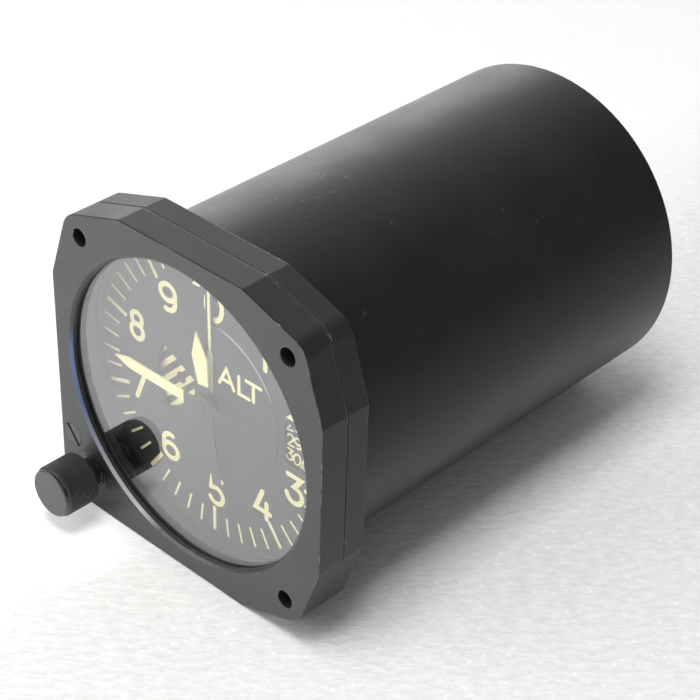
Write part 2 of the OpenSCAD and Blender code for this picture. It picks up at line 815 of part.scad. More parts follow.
module sector_gear() {
  first = floor(-sector_lead * sector_n / 360);
  last = ceil(sector_sweep * sector_n / 360);
  rim = dm * sector_n / 2 - 1.1 * dm - 2;
  a0 = first * 360 / sector_n - 0.75;
  a1 = (last - 1) * 360 / sector_n + 0.75;
  mid = (a0 + a1) / 2;
  color([0.78, 0.64, 0.3]) translate([rock_at[0], rock_at[1], l6 - sector_t])
    rotate(sector_dir + 180 / sector_n) difference() {
      linear_extrude(sector_t) union() {
        polygon(concat(gear_points(dm, sector_n, from = first, to = last), arc([0, 0], rim, a1, a0, 24)));
        polygon(concat([polar(3, a0 - 30)], arc([0, 0], rim + 1, a0 + 1, a0 + 5, 4), [polar(3, mid)]));
        polygon(concat([polar(3, mid)], arc([0, 0], rim + 1, a1 - 5, a1 - 1, 4), [polar(3, a1 + 30)]));
        circle(r = 3.6);
      }
      translate([0, 0, -1]) cylinder(r = 1.2, h = sector_t + 2);
    }
}

module rocking_shaft() {
  color([0.7, 0.7, 0.7]) union() {
    rod(1.2, frame_back + upright_t + 0.3, rear_back - 0.3, rock_at);
    rod(pivot_r, frame_back + 1, rear_back + 1.2, rock_at);
  }
}

module bimetal_arm() {
  color([0.75, 0.66, 0.5]) difference() {
    union() {
      rod(2.4, capsule_z - 2, capsule_z + 2, rock_at);
      translate([rock_at[0], rock_at[1], capsule_z + 0.7]) rotate(arm_rest) translate([0, -0.9, 0])
        cube([arm_r, 1.8, 0.9]);
      rod(1.3, capsule_z + 0.7, capsule_z + 1.6, arm_pin);
      rod(link_pin_r, capsule_z - 0.8, capsule_z + 1, arm_pin);
    }
    rod(1.2, capsule_z - 3, capsule_z + 3, rock_at);
  }
}

module balance_weight() {
  z = capsule_z + 12;
  color([0.6, 0.6, 0.62]) difference() {
    union() {
      rod(2.2, z - 1.5, z + 1.5, rock_at);
      translate([rock_at[0] - 9, rock_at[1] - 0.7, z - 0.7]) cube([9, 1.4, 1.4]);
      translate([rock_at[0] - 9, rock_at[1], z]) rotate([0, 90, 0]) cylinder(r = 2.2, h = 3);
    }
    rod(1.2, z - 3, z + 3, rock_at);
  }
}

module link() {
  top = [arm_pin[0], pin_y];
  color([0.7, 0.7, 0.7]) difference() {
    union() {
      translate([arm_pin[0] - 0.6, arm_pin[1], capsule_z - 0.4]) cube([1.2, pin_y - arm_pin[1], 0.8]);
      rod(1.2, capsule_z - 0.4, capsule_z + 0.4, arm_pin);
      rod(link_pin_r + link_play + 0.8, capsule_z - 0.4, capsule_z + 0.4, top);
    }
    rod(link_pin_r + fit, capsule_z - 1, capsule_z + 1, arm_pin);
    rod(link_pin_r + link_play, capsule_z - 1, capsule_z + 1, top);
  }
}

// Upright rod of the aneroid stack, from one height to another
module upright(r, y0, y1) {
  translate([capsule_x, max(y0, y1), capsule_z]) rotate([90, 0, 0]) cylinder(r = r, h = abs(y1 - y0));
}

module capsule_head() {
  color([0.72, 0.68, 0.55]) union() {
    upright(4, head_y - 0.02, head_y - 1.5);
    upright(1.2, head_y - 1, head_y - 2.4);
    translate([capsule_x - 1.2, head_y - 2.8, capsule_z - 2.2]) cube([2.4, 1.2, 3.2]);
    translate([capsule_x - 1.2, pin_y - 1.2, capsule_z - 2.2]) cube([2.4, head_y - 1.6 - pin_y + 1.2, 1.2]);
    rod(link_pin_r, capsule_z - 1.2, capsule_z + 0.8, [capsule_x, pin_y]);
  }
}

// A stack of sealed capsules, each a thin drum with a dished face and a collar to the next
module aneroid_capsules() {
  r = capsule_r;
  color([0.8, 0.72, 0.5])
    for (i = [0:capsule_n - 1])
      translate([capsule_x, stack_y - i * capsule_t, capsule_z]) rotate([90, 0, 0]) rotate_extrude() polygon([
        [0, 0], [3, 0], [3, 0.9], [r * 0.45, 0.9], [r * 0.55, 1.5], [r * 0.7, 1.5], [r * 0.8, 1], [r, 2],
        [r, capsule_t - 2], [r * 0.8, capsule_t - 1], [r * 0.7, capsule_t - 1.5], [r * 0.55, capsule_t - 1.5],
        [r * 0.45, capsule_t - 0.9], [3, capsule_t - 0.9], [3, capsule_t], [0, capsule_t]
      ]);
}

module capsule_base() {
  color([0.6, 0.6, 0.6]) upright(5, stack_y + 0.02, stack_y + 1);
}

module aneroid_frame() {
  x0 = capsule_x - frame_w / 2;
  color([0.68, 0.68, 0.66]) difference() {
    union() {
      translate([x0, base_y - base_t, frame_back]) cube([frame_w, base_t, rear_back - frame_back]);
      translate([x0, base_y - 10, rear_back - 3]) cube([frame_w, 10, 3]);
      translate([x0, rock_at[1] - 4, frame_back]) cube([frame_w, base_y - rock_at[1] + 4, upright_t]);
    }
    rod(jewel_r, frame_back - 1, frame_back + upright_t + 1, rock_at);
    for (a = pillar_angles)
      rod(plate_nut_r + gap, rear_back - plate_nut_t - gap, rear_back + 1, polar(pillar_r, a));
    for (x = [-8, 8])
      rod(1 + fit, rear_back - 4, rear_back + 1, [capsule_x + x, frame_screw_y]);
  }
}

module frame_screws() {
  color([0.55, 0.55, 0.55])
    for (x = [-8, 8]) {
      rod(1, rear_back - 3.2, rear_z - 0.4, [capsule_x + x, frame_screw_y]);
      rod(1.8, rear_back - 4.4, rear_back - 3, [capsule_x + x, frame_screw_y]);
    }
}

as_mounted() case();
as_mounted() flange();
as_mounted() bezel();
as_mounted() case_gasket();
as_mounted() bezel_screws();
as_mounted() cover_glass();
as_mounted() glass_gasket();
as_mounted() retaining_ring();
as_mounted() lock_screw();
as_mounted() knob();
as_mounted() knob_set_screw();
as_mounted() knob_shaft();
as_mounted() knob_pinion();
as_mounted() knob_bushing();
as_mounted() shaft_seal();
as_mounted() dial();
as_mounted() centre_disc();
as_mounted() baro_ring();
as_mounted() hundred_foot_pointer();
as_mounted() thousand_foot_pointer();
as_mounted() ten_thousand_foot_pointer();
as_mounted() warning_flag();
as_mounted() front_plate();
as_mounted() middle_plate();
as_mounted() rear_plate();
as_mounted() pillars();
as_mounted() plate_screws();
as_mounted() mechanism_screws();
as_mounted() jewel_bearings();
as_mounted() pointer_staff();
as_mounted() thousand_sleeve();
as_mounted() thousand_wheel();
as_mounted() ten_thousand_sleeve();
as_mounted() ten_thousand_wheel();
as_mounted() first_arbor();
as_mounted() first_wheel();
as_mounted() second_arbor();
as_mounted() second_wheel();
as_mounted() drive_arbor();
as_mounted() drive_wheel();
as_mounted() hairspring();
as_mounted() hairspring_stud();
as_mounted() sector_gear();
as_mounted() rocking_shaft();
as_mounted() bimetal_arm();
as_mounted() balance_weight();
as_mounted() link();
as_mounted() capsule_head();
as_mounted() aneroid_capsules();
as_mounted() capsule_base();
as_mounted() aneroid_frame();
as_mounted() frame_screws();
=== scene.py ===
"""Dresses the altimeter's frame: paint, glass, dial print, pointers, scale, knurled knob and stage."""

import math

import bmesh
import bpy
from mathutils import Matrix, Vector


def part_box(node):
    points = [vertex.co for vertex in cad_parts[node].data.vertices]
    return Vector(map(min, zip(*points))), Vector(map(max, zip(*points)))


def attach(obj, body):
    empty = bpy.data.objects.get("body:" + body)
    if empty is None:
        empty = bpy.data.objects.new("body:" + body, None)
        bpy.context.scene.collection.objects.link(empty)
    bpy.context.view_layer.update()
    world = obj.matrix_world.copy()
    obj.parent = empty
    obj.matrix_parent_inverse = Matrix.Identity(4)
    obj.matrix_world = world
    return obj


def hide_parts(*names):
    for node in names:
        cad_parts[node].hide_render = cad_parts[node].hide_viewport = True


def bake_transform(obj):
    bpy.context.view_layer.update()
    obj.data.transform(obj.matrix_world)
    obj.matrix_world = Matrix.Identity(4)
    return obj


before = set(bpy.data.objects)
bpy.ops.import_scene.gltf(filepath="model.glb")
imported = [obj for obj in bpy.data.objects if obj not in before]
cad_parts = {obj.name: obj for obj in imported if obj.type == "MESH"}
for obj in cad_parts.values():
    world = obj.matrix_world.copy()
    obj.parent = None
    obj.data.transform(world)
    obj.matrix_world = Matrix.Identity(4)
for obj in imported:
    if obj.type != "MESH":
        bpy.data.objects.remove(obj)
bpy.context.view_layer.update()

bl_info = {
    "name": "Altimeter finish",
    "version": (1, 0, 0),
    "blender": (4, 5, 0),
    "location": "View3D > Sidebar > Altimeter",
    "description": "Finishes, dial print and knurled knob of a three-pointer altimeter",
    "category": "Object",
}

MM = 0.001
EDGE_ROUNDING = 0.45 * MM  # how far wear reaches over an edge
EDGE_SAMPLES = 6
WINDOW_RIM = 39 * MM  # clear of the window's chamfer, inside the bezel's outline

# Clock angles in degrees
HUNDRED_CLOCK = 270
THOUSAND_CLOCK = 351
TEN_THOUSAND_CLOCK = 359.1
WINDOW_GLINT_CLOCK = 237
# The disc's painted highlight is brightest at the next angle.
DISC_HIGHLIGHT_CLOCK = 34


def tint(red, green, blue):
    """A colour given as 0 to 255 screen values, as the linear colour that a shader takes."""
    linear = []
    for value in (red, green, blue):
        share = value / 255
        linear.append(share / 12.92 if share <= 0.04045 else ((share + 0.055) / 1.055) ** 2.4)
    return (*linear, 1.0)


def faded(colour, red, green, blue):
    """A colour with each of its parts taken down to a share."""
    return (colour[0] * red, colour[1] * green, colour[2] * blue, 1.0)


# Sizes and colours that a user may change


def length_setting(label, use, millimetres):
    return bpy.props.FloatProperty(name=label, description=use, default=millimetres * MM, unit="LENGTH")


def colour_setting(label, use, colour):
    return bpy.props.FloatVectorProperty(name=label, description=use, default=colour, size=4, subtype="COLOR")


def power_setting(label, use, watts):
    return bpy.props.FloatProperty(name=label, description=use, default=watts, unit="POWER")


class DialSettings(bpy.types.PropertyGroup):
    """Print on the dial and on the barometric scale."""

    divisions: bpy.props.IntProperty(
        name="Divisions", description="Marks around the dial", default=50, min=10)
    mark_outer: length_setting("Mark outer radius", "Outer end of every mark", 35.75)
    major_inner: length_setting("Long mark inner radius", "Inner end of the long marks", 29.15)
    minor_inner: length_setting("Short mark inner radius", "Inner end of the short marks", 30.75)
    major_width: length_setting("Long mark width", "Width of the long marks", 1.0)
    minor_width: length_setting("Short mark width", "Width of the short marks", 0.6)
    numeral_height: length_setting("Numeral height", "Height of the dial's numerals", 8.2)
    numeral_stroke: length_setting("Numeral stroke", "Stroke of the dial's numerals", 1.3)
    ink: length_setting("Ink thickness", "How far the print stands off the dial", 0.03)
    scale_height: length_setting("Scale digit height", "Height of the barometric digits", 3.3)
    scale_step: bpy.props.FloatProperty(
        name="Scale step", description="Turn of the scale for each number", default=math.radians(9.9),
        unit="ROTATION")


class KnobSettings(bpy.types.PropertyGroup):
    """Diamond knurl on the setting knob."""

    teeth: bpy.props.IntProperty(name="Teeth", description="Diamonds around the knob", default=50, min=12)
    depth: length_setting("Knurl depth", "Height of each diamond", 0.42)


class FinishSettings(bpy.types.PropertyGroup):
    """Colours of the finishes."""

    paint: colour_setting("Paint", "Satin black of the case and bezel", tint(36, 37, 39))
    bare: colour_setting("Bare metal", "Metal that shows where the paint has worn", tint(150, 148, 145))
    dial: colour_setting("Dial black", "Matte black of the dial", tint(31, 33, 34))
    lume: colour_setting("Lume", "Cream of the print and pointers", tint(254, 246, 190))


class StageSettings(bpy.types.PropertyGroup):
    """Floor and light."""

    floor: colour_setting("Floor", "Colour of the floor", tint(254, 254, 254))
    key: power_setting("Key light", "Power of the soft light above", 7.6)
    window: power_setting("Window light", "Power of the low light behind the left", 2.0)
    fill: power_setting("Fill light", "Power of the low light before the left", 4.6)
    sky: bpy.props.FloatProperty(
        name="Sky light", description="Strength of the soft light around", default=0.42)


# Node helpers


def put(tree, kind, inputs=None, **settings):
    """Adds a node. An input is given by name or number, as a value or as the socket that feeds it."""
    node = tree.nodes.new(kind)
    for key, value in settings.items():
        setattr(node, key, value)
    for key, value in (inputs or {}).items():
        if isinstance(value, bpy.types.NodeSocket):
            tree.links.new(value, node.inputs[key])
        else:
            node.inputs[key].default_value = value
    return node


def calc(tree, operation, first, second=0.0, third=0.0, clamp=False):
    node = put(tree, "ShaderNodeMath", {0: first, 1: second, 2: third}, operation=operation, use_clamp=clamp)
    return node.outputs[0]


def times(tree, first, second):
    return calc(tree, "MULTIPLY", first, second)


def vector_calc(tree, operation, first, second=(0.0, 0.0, 0.0)):
    node = put(tree, "ShaderNodeVectorMath", {0: first, 1: second}, operation=operation)
    return node.outputs["Value" if operation in ("DISTANCE", "DOT_PRODUCT") else "Vector"]


def split(tree, vector):
    """The X, Y and Z of a vector."""
    return put(tree, "ShaderNodeSeparateXYZ", {0: vector}).outputs


def join(tree, across, back, up):
    """A vector of its X, Y and Z."""
    return put(tree, "ShaderNodeCombineXYZ", {"X": across, "Y": back, "Z": up}).outputs[0]


def ramp(tree, value, low, high, to_low=0.0, to_high=1.0):
    """A value's share of the way from low to high, kept within the two ends."""
    node = put(tree, "ShaderNodeMapRange", {
        "Value": value, "From Min": low, "From Max": high, "To Min": to_low, "To Max": to_high})
    return node.outputs["Result"]


def between(tree, value, low, high):
    """One where a value lies between two limits, else zero."""
    return times(tree, calc(tree, "GREATER_THAN", value, low), calc(tree, "LESS_THAN", value, high))


def blend_colour(tree, factor, first, second):
    node = put(tree, "ShaderNodeMix", data_type="RGBA")
    for socket, value in ((node.inputs[0], factor), (node.inputs[6], first), (node.inputs[7], second)):
        if isinstance(value, bpy.types.NodeSocket):
            tree.links.new(value, socket)
        else:
            socket.default_value = value
    return node.outputs[2]


def noise(tree, coordinates, scale, detail=2.0, rough=0.5):
    node = put(tree, "ShaderNodeTexNoise", {
        "Vector": coordinates, "Scale": scale, "Detail": detail, "Roughness": rough})
    return node.outputs["Fac"]


def cells(tree, coordinates, scale, feature="F1"):
    """Distance from the middles of scattered cells, or from their edges."""
    node = put(tree, "ShaderNodeTexVoronoi", {"Vector": coordinates, "Scale": scale}, feature=feature)
    return node.outputs["Distance"]


def relief(tree, height, strength, distance, base=None):
    """The normal of a surface with a fine relief."""
    inputs = {"Strength": strength, "Distance": distance, "Height": height}
    if base is not None:
        inputs["Normal"] = base
    return put(tree, "ShaderNodeBump", inputs).outputs["Normal"]


def rounded_edges(tree):
    """The normal of a surface as if its edges were rounded."""
    return put(tree, "ShaderNodeBevel", {"Radius": EDGE_ROUNDING}, samples=EDGE_SAMPLES).outputs["Normal"]


def surface_normal(tree, kind="Normal"):
    return put(tree, "ShaderNodeNewGeometry").outputs[kind]


def object_place(tree, scale=None, turn=(0.0, 0.0, 0.0)):
    """Object coordinates, stretched and turned where a pattern has a direction."""
    place = put(tree, "ShaderNodeTexCoord").outputs["Object"]
    if scale is None:
        return place
    node = put(tree, "ShaderNodeMapping", {"Vector": place, "Rotation": turn, "Scale": scale})
    return node.outputs["Vector"]


def effect(name, inputs, outputs):
    """An empty shader group with named sockets: its tree, its input sockets and its output sockets."""
    tree = bpy.data.node_groups.new(name, "ShaderNodeTree")
    for label, kind, value in inputs:
        tree.interface.new_socket(label, in_out="INPUT", socket_type=kind).default_value = value
    for label, kind in outputs:
        tree.interface.new_socket(label, in_out="OUTPUT", socket_type=kind)
    return tree, put(tree, "NodeGroupInput").outputs, put(tree, "NodeGroupOutput").inputs


def finish_material(name):
    """A new material with a Principled shader: the material, its tree and the shader."""
    material = bpy.data.materials.new(name)
    material.use_nodes = True
    tree = material.node_tree
    tree.nodes.clear()
    shader = put(tree, "ShaderNodeBsdfPrincipled")
    put(tree, "ShaderNodeOutputMaterial", {"Surface": shader.outputs[0]})
    return material, tree, shader


def use_effect(tree, effect_name, **values):
    node = put(tree, "ShaderNodeGroup", node_tree=bpy.data.node_groups[effect_name])
    for key, value in values.items():
        node.inputs[key.replace("_", " ")].default_value = value
    return node.outputs


def feed(tree, shader, **links):
    for key, socket in links.items():
        tree.links.new(socket, shader.inputs[key.replace("_", " ")])


# Shared effects


def worn_paint():
    """Satin paint with an orange-peel grain, chipped edges, hairline scratches and specks."""
    tree, given, result = effect(
        "worn_paint",
        [("Paint", "NodeSocketColor", (0, 0, 0, 1)), ("Bare", "NodeSocketColor", (1, 1, 1, 1)),
         ("Gloss", "NodeSocketFloat", 0.4), ("Chips", "NodeSocketFloat", 0.3),
         ("Scuffs", "NodeSocketFloat", 0.3),
         ("Rubbed", "NodeSocketVector", (0, 0, 0)), ("Reach", "NodeSocketFloat", 0.001)],
        [("Color", "NodeSocketColor"), ("Roughness", "NodeSocketFloat"), ("Metallic", "NodeSocketFloat"),
         ("Normal", "NodeSocketVector")])
    place = object_place(tree)
    apart = vector_calc(tree, "DISTANCE", place, given["Rubbed"])
    near = ramp(tree, calc(tree, "DIVIDE", apart, given["Reach"]), 1.0, 0.3, 0.0, 0.12)
    scuffs = calc(tree, "ADD", given["Scuffs"], near)
    peel = noise(tree, place, 2600.0, 3.0)
    mottle = noise(tree, place, 55.0, 4.0, 0.6)
    rounded = rounded_edges(tree)
    edge = ramp(tree, vector_calc(tree, "DOT_PRODUCT", rounded, surface_normal(tree)), 0.985, 0.93)
    chip_noise = calc(tree, "ADD", noise(tree, place, 420.0, 5.0, 0.65), given["Chips"])
    chip = times(tree, edge, ramp(tree, chip_noise, 0.86, 0.92))
    hair = 0.0
    for scale, turn in (((260.0, 55.0, 260.0), (0.1, 0.2, 0.5)), ((70.0, 300.0, 300.0), (0.3, 0.1, 0.9))):
        lines = cells(tree, object_place(tree, scale, turn), 1.0, "DISTANCE_TO_EDGE")
        hair = calc(tree, "MAXIMUM", hair, ramp(tree, lines, 0.03, 0.006))
    patch = calc(tree, "ADD", noise(tree, place, 260.0, 3.0, 0.7), scuffs)
    scratch = times(tree, hair, ramp(tree, patch, 0.86, 1.02))
    dots = cells(tree, place, 420.0)
    speck_patch = calc(tree, "ADD", noise(tree, place, 60.0, 4.0, 0.7), scuffs)
    speck = times(tree, ramp(tree, dots, 0.16, 0.08), ramp(tree, speck_patch, 0.9, 0.98))
    bare = calc(tree, "MAXIMUM", chip, calc(tree, "MAXIMUM", times(tree, scratch, 0.3), speck), clamp=True)
    shade = put(tree, "ShaderNodeHueSaturation", {
        "Color": given["Paint"], "Value": ramp(tree, mottle, 0.3, 0.7, 0.86, 1.16)}).outputs["Color"]
    tree.links.new(blend_colour(tree, bare, shade, given["Bare"]), result["Color"])
    gloss = calc(tree, "ADD", given["Gloss"], ramp(tree, mottle, 0.25, 0.75, -0.05, 0.07))
    polish = calc(tree, "ADD", times(tree, bare, 0.08), times(tree, edge, 0.2))
    tree.links.new(calc(tree, "SUBTRACT", gloss, polish), result["Roughness"])
    tree.links.new(times(tree, bare, 0.7), result["Metallic"])
    tree.links.new(relief(tree, peel, 0.12, 0.05 * MM, rounded), result["Normal"])
    return tree


def brushed_metal():
    """Machined metal with fine marks and uneven tarnish."""
    tree, given, result = effect(
        "brushed_metal",
        [("Metal", "NodeSocketColor", (0.8, 0.8, 0.8, 1)), ("Tarnish", "NodeSocketColor", (0.3, 0.3, 0.3, 1)),
         ("Gloss", "NodeSocketFloat", 0.3), ("Age", "NodeSocketFloat", 0.3)],
        [("Color", "NodeSocketColor"), ("Roughness", "NodeSocketFloat"), ("Normal", "NodeSocketVector")])
    place = object_place(tree)
    marks = noise(tree, object_place(tree, (160.0, 900.0, 3000.0), (0.0, 0.6, 0.3)), 1.0, 3.0)
    cloud = noise(tree, place, 110.0, 5.0, 0.65)
    aged = times(tree, ramp(tree, cloud, 0.4, 0.75), given["Age"])
    tree.links.new(blend_colour(tree, aged, given["Metal"], given["Tarnish"]), result["Color"])
    rough = calc(tree, "ADD", given["Gloss"], ramp(tree, marks, 0.2, 0.8, -0.06, 0.1))
    tree.links.new(calc(tree, "ADD", rough, times(tree, aged, 0.2)), result["Roughness"])
    tree.links.new(relief(tree, marks, 0.1, 0.02 * MM), result["Normal"])
    return tree


def dust_and_age():
    """A flat finish that yellows and gathers fine dust."""
    tree, given, result = effect(
        "dust_and_age",
        [("Fresh", "NodeSocketColor", (0.5, 0.5, 0.5, 1)), ("Aged", "NodeSocketColor", (0.4, 0.4, 0.3, 1)),
         ("Dust", "NodeSocketFloat", 0.2), ("Gloss", "NodeSocketFloat", 0.6)],
        [("Color", "NodeSocketColor"), ("Roughness", "NodeSocketFloat"), ("Height", "NodeSocketFloat")])
    place = object_place(tree)
    cloud = noise(tree, place, 180.0, 4.0, 0.6)
    mote = times(tree, ramp(tree, cells(tree, place, 520.0), 0.12, 0.05), given["Dust"])
    colour = blend_colour(tree, ramp(tree, cloud, 0.35, 0.7), given["Fresh"], given["Aged"])
    tree.links.new(blend_colour(tree, mote, colour, (0.5, 0.5, 0.48, 1)), result["Color"])
    rough = calc(tree, "ADD", given["Gloss"], ramp(tree, cloud, 0.3, 0.7, -0.06, 0.06))
    tree.links.new(rough, result["Roughness"])
    tree.links.new(noise(tree, place, 2400.0, 2.0), result["Height"])
    return tree


# Finishes


def paint_finish(name, paint, bare, gloss, chips, scuffs, sheen=1.75, rubbed=(0.0, 0.0, 0.0), reach=1 * MM):
    """Worn paint, rubbed more within a reach of one place."""
    material, tree, shader = finish_material(name)
    wear_and_breakup = use_effect(tree, "worn_paint", Paint=paint, Bare=bare, Gloss=gloss, Chips=chips,
                      Scuffs=scuffs, Rubbed=rubbed, Reach=reach)
    feed(tree, shader, Base_Color=wear_and_breakup["Color"], Roughness=wear_and_breakup["Roughness"], Metallic=wear_and_breakup["Metallic"],
         Normal=wear_and_breakup["Normal"])
    shader.inputs["IOR"].default_value = sheen
    return material


def pointer_axes(tree, clock):
    """Distances along and across a pointer that stands at a clock angle in degrees at rest."""
    place = split(tree, object_place(tree))
    sine, cosine = math.sin(math.radians(clock)), math.cos(math.radians(clock))
    along = calc(tree, "ADD", times(tree, place["X"], sine), times(tree, place["Z"], cosine))
    across = calc(tree, "SUBTRACT", times(tree, place["X"], cosine), times(tree, place["Z"], sine))
    return along, calc(tree, "ABSOLUTE", across)


def span(tree, right, up):
    """Length of a line from how far it goes right and up."""
    return calc(tree, "SQRT", calc(tree, "ADD", times(tree, right, right), times(tree, up, up)))


def axis_reach(tree):
    """Distance of a point from the axis of the case."""
    return span(tree, *pointer_axes(tree, 0))


def shader_of(material):
    """A finish's tree and its Principled shader."""
    tree = material.node_tree
    return tree, next(node for node in tree.nodes if node.type == "BSDF_PRINCIPLED")


def fed_by(shader, label):
    """The socket that feeds a shader's input."""
    return shader.inputs[label].links[0].from_socket


def half_width(node):
    low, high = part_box(node)
    return (high.x - low.x) / 2


def cover_paint(tree, shader, mask, metal):
    """Lays a colour over a finish, as metal, where a mask is one: bare metal in chips, and also painted
    highlights and painted shade.
    """
    feed(tree, shader, Base_Color=blend_colour(tree, mask, fed_by(shader, "Base Color"), metal),
         Metallic=calc(tree, "MAXIMUM", fed_by(shader, "Metallic"), mask))


def steer_normal(tree, shader, wanted, mask):
    """Shades a surface as if its normal were the wanted one where a mask is one, and keeps its bumps."""
    off = vector_calc(tree, "MULTIPLY", vector_calc(tree, "SUBTRACT", wanted, surface_normal(tree)), mask)
    mended = vector_calc(tree, "ADD", fed_by(shader, "Normal"), off)
    feed(tree, shader, Normal=vector_calc(tree, "NORMALIZE", mended))


def paint_window_edge_highlight(material, upper, lower):
    """Paints a highlight on the window's chamfer at its lower left, bluish above and pale grey below, laid as
    metal, and shades the whole chamfer as a true cone.
    """
    tree, shader = shader_of(material)
    margin = 2 * MM
    place = split(tree, object_place(tree))
    reach = axis_reach(tree)
    slope = split(tree, surface_normal(tree, "True Normal"))["Y"]
    inside = calc(tree, "LESS_THAN", reach, half_width("cover_glass") + margin)
    before = calc(tree, "LESS_THAN", place["Y"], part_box("bezel")[0].y + margin)
    edge = times(tree, times(tree, between(tree, slope, -0.9, -0.4), inside), before)
    lean = calc(tree, "SQRT", calc(tree, "SUBTRACT", 1.0, times(tree, slope, slope)))
    inward = calc(tree, "DIVIDE", times(tree, lean, -1.0), reach)
    cone = join(tree, times(tree, place["X"], inward), slope, times(tree, place["Z"], inward))
    steer_normal(tree, shader, cone, edge)
    satin = put(tree, "ShaderNodeMix", {0: edge, 2: fed_by(shader, "Roughness"), 3: 0.42})
    feed(tree, shader, Roughness=satin.outputs[0])
    side = calc(tree, "DIVIDE", pointer_axes(tree, WINDOW_GLINT_CLOCK)[0], reach)
    falling = calc(tree, "DIVIDE", place["Z"], reach)
    # painted reflection: bluish on the upper part of the chamfer, pale grey lower down
    metal = blend_colour(tree, ramp(tree, falling, -0.35, -0.75), upper, lower)
    cover_paint(tree, shader, times(tree, edge, ramp(tree, side, 0.72, 0.84)), metal)


def shade_and_chip_front_edges(material, bare):
    """Paints shade on the front edges that look up, as a broken near-black line, and bares the metal in chips
    along those that look right.
    """
    tree, shader = shader_of(material)
    lean = split(tree, rounded_edges(tree))
    edge = times(tree, ramp(tree, lean["Y"], -0.15, -0.35), ramp(tree, lean["Y"], -0.985, -0.88))
    edge = times(tree, edge, calc(tree, "GREATER_THAN", axis_reach(tree), WINDOW_RIM))
    upper = times(tree, ramp(tree, lean["Z"], 0.15, 0.3), ramp(tree, lean["X"], 0.45, 0.3))
    wear_and_breakup = noise(tree, object_place(tree), 150.0, 3.0, 0.6)
    # painted shade: a near-black line along the upper front edges, broken up by noise
    black = times(tree, times(tree, edge, upper), ramp(tree, wear_and_breakup, 0.64, 0.56))
    cover_paint(tree, shader, black, tint(12, 12, 13))
    chips = noise(tree, object_place(tree), 380.0, 4.0, 0.65)
    chipped = times(tree, ramp(tree, lean["X"], 0.3, 0.42), ramp(tree, chips, 0.5, 0.57))
    cover_paint(tree, shader, times(tree, edge, chipped), bare)


def even_wall(material, node):
    """Keeps the shading of a round wall even across the line where its mesh closes."""
    tree, shader = shader_of(material)
    skin = 0.3 * MM
    place = split(tree, object_place(tree))
    upright = between(tree, split(tree, surface_normal(tree))["Y"], -0.1, 0.1)
    outside = calc(tree, "GREATER_THAN", axis_reach(tree), half_width(node) - skin)
    radial = vector_calc(tree, "NORMALIZE", join(tree, place["X"], 0.0, place["Z"]))
    steer_normal(tree, shader, radial, times(tree, upright, outside))


def metal_finish(name, metal, tarnish, gloss, age):
    material, tree, shader = finish_material(name)
    worked = use_effect(tree, "brushed_metal", Metal=metal, Tarnish=tarnish, Gloss=gloss, Age=age)
    shader.inputs["Metallic"].default_value = 1.0
    feed(tree, shader, Base_Color=worked["Color"], Roughness=worked["Roughness"], Normal=worked["Normal"])
    return material


def flat_finish(name, fresh, aged, dust, gloss):
    material, tree, shader = finish_material(name)
    made = use_effect(tree, "dust_and_age", Fresh=fresh, Aged=aged, Dust=dust, Gloss=gloss)
    feed(tree, shader, Base_Color=made["Color"], Roughness=made["Roughness"],
         Normal=relief(tree, made["Height"], 0.08, 0.04 * MM))
    return material


def lumed_finish(name, lume, black, mask_of):
    """Black metal with a pale colour laid where mask_of(tree) is one: lume on the pointers and the flag, a
    painted highlight on the centre disc.
    """
    material, tree, shader = finish_material(name)
    aged = use_effect(tree, "dust_and_age", Fresh=lume, Aged=faded(lume, 0.9, 0.86, 0.74),
                      Dust=0.05, Gloss=0.6)
    feed(tree, shader, Base_Color=blend_colour(tree, mask_of(tree), black, aged["Color"]),
         Roughness=aged["Roughness"], Normal=relief(tree, aged["Height"], 0.12, 0.03 * MM))
    return material


def hundred_lume(tree):
    return calc(tree, "GREATER_THAN", pointer_axes(tree, HUNDRED_CLOCK)[0], 5.8 * MM)


def thousand_lume(tree):
    return calc(tree, "GREATER_THAN", pointer_axes(tree, THOUSAND_CLOCK)[0], 4.8 * MM)


def ten_thousand_lume(tree):
    """A broad stem, a fine line and an arrow head that is notched behind."""
    along, across = pointer_axes(tree, TEN_THOUSAND_CLOCK)
    stem_start, stem_end, line_end = 2.5 * MM, 13 * MM, 28.2 * MM
    head_start, notch_half = 28 * MM, 2.9 * MM
    stem = times(tree, between(tree, along, stem_start, stem_end), calc(tree, "LESS_THAN", across, 0.8 * MM))
    line = times(tree, between(tree, along, stem_end, line_end), calc(tree, "LESS_THAN", across, 0.42 * MM))
    notch = calc(tree, "MAXIMUM", calc(tree, "SUBTRACT", notch_half, across), 0.0)
    head = calc(tree, "GREATER_THAN", along, calc(tree, "ADD", notch, head_start))
    return calc(tree, "MAXIMUM", head, calc(tree, "MAXIMUM", stem, line))


def disc_edge_highlight(tree):
    """Painted highlight along the disc's upper right edge: a pale band laid on its rim, brightest towards one
    clock angle.
    """
    # The painted highlight reaches this far in from the disc's rim.
    radius, rubbed = half_width("centre_disc"), 0.17 * MM
    rim = calc(tree, "GREATER_THAN", axis_reach(tree), radius - rubbed)
    side = calc(tree, "DIVIDE", pointer_axes(tree, DISC_HIGHLIGHT_CLOCK)[0], radius)
    return times(tree, rim, ramp(tree, side, 0.84, 0.95))


def flag_stripes(tree):
    """Slanting stripes of about equal width, with a dark rivet head between two of them."""
    pitch, start, share = 4.2 * MM, 40.48, 0.48
    rivet_left, rivet_radius = 11.3 * MM, 1.45 * MM
    place = split(tree, object_place(tree))
    slant = calc(tree, "DIVIDE", calc(tree, "SUBTRACT", place["X"], place["Z"]), pitch)
    stripe = calc(tree, "LESS_THAN", calc(tree, "FRACT", calc(tree, "ADD", slant, start)), share)
    apart = span(tree, calc(tree, "ADD", place["X"], rivet_left), place["Z"])
    return times(tree, stripe, calc(tree, "GREATER_THAN", apart, rivet_radius))


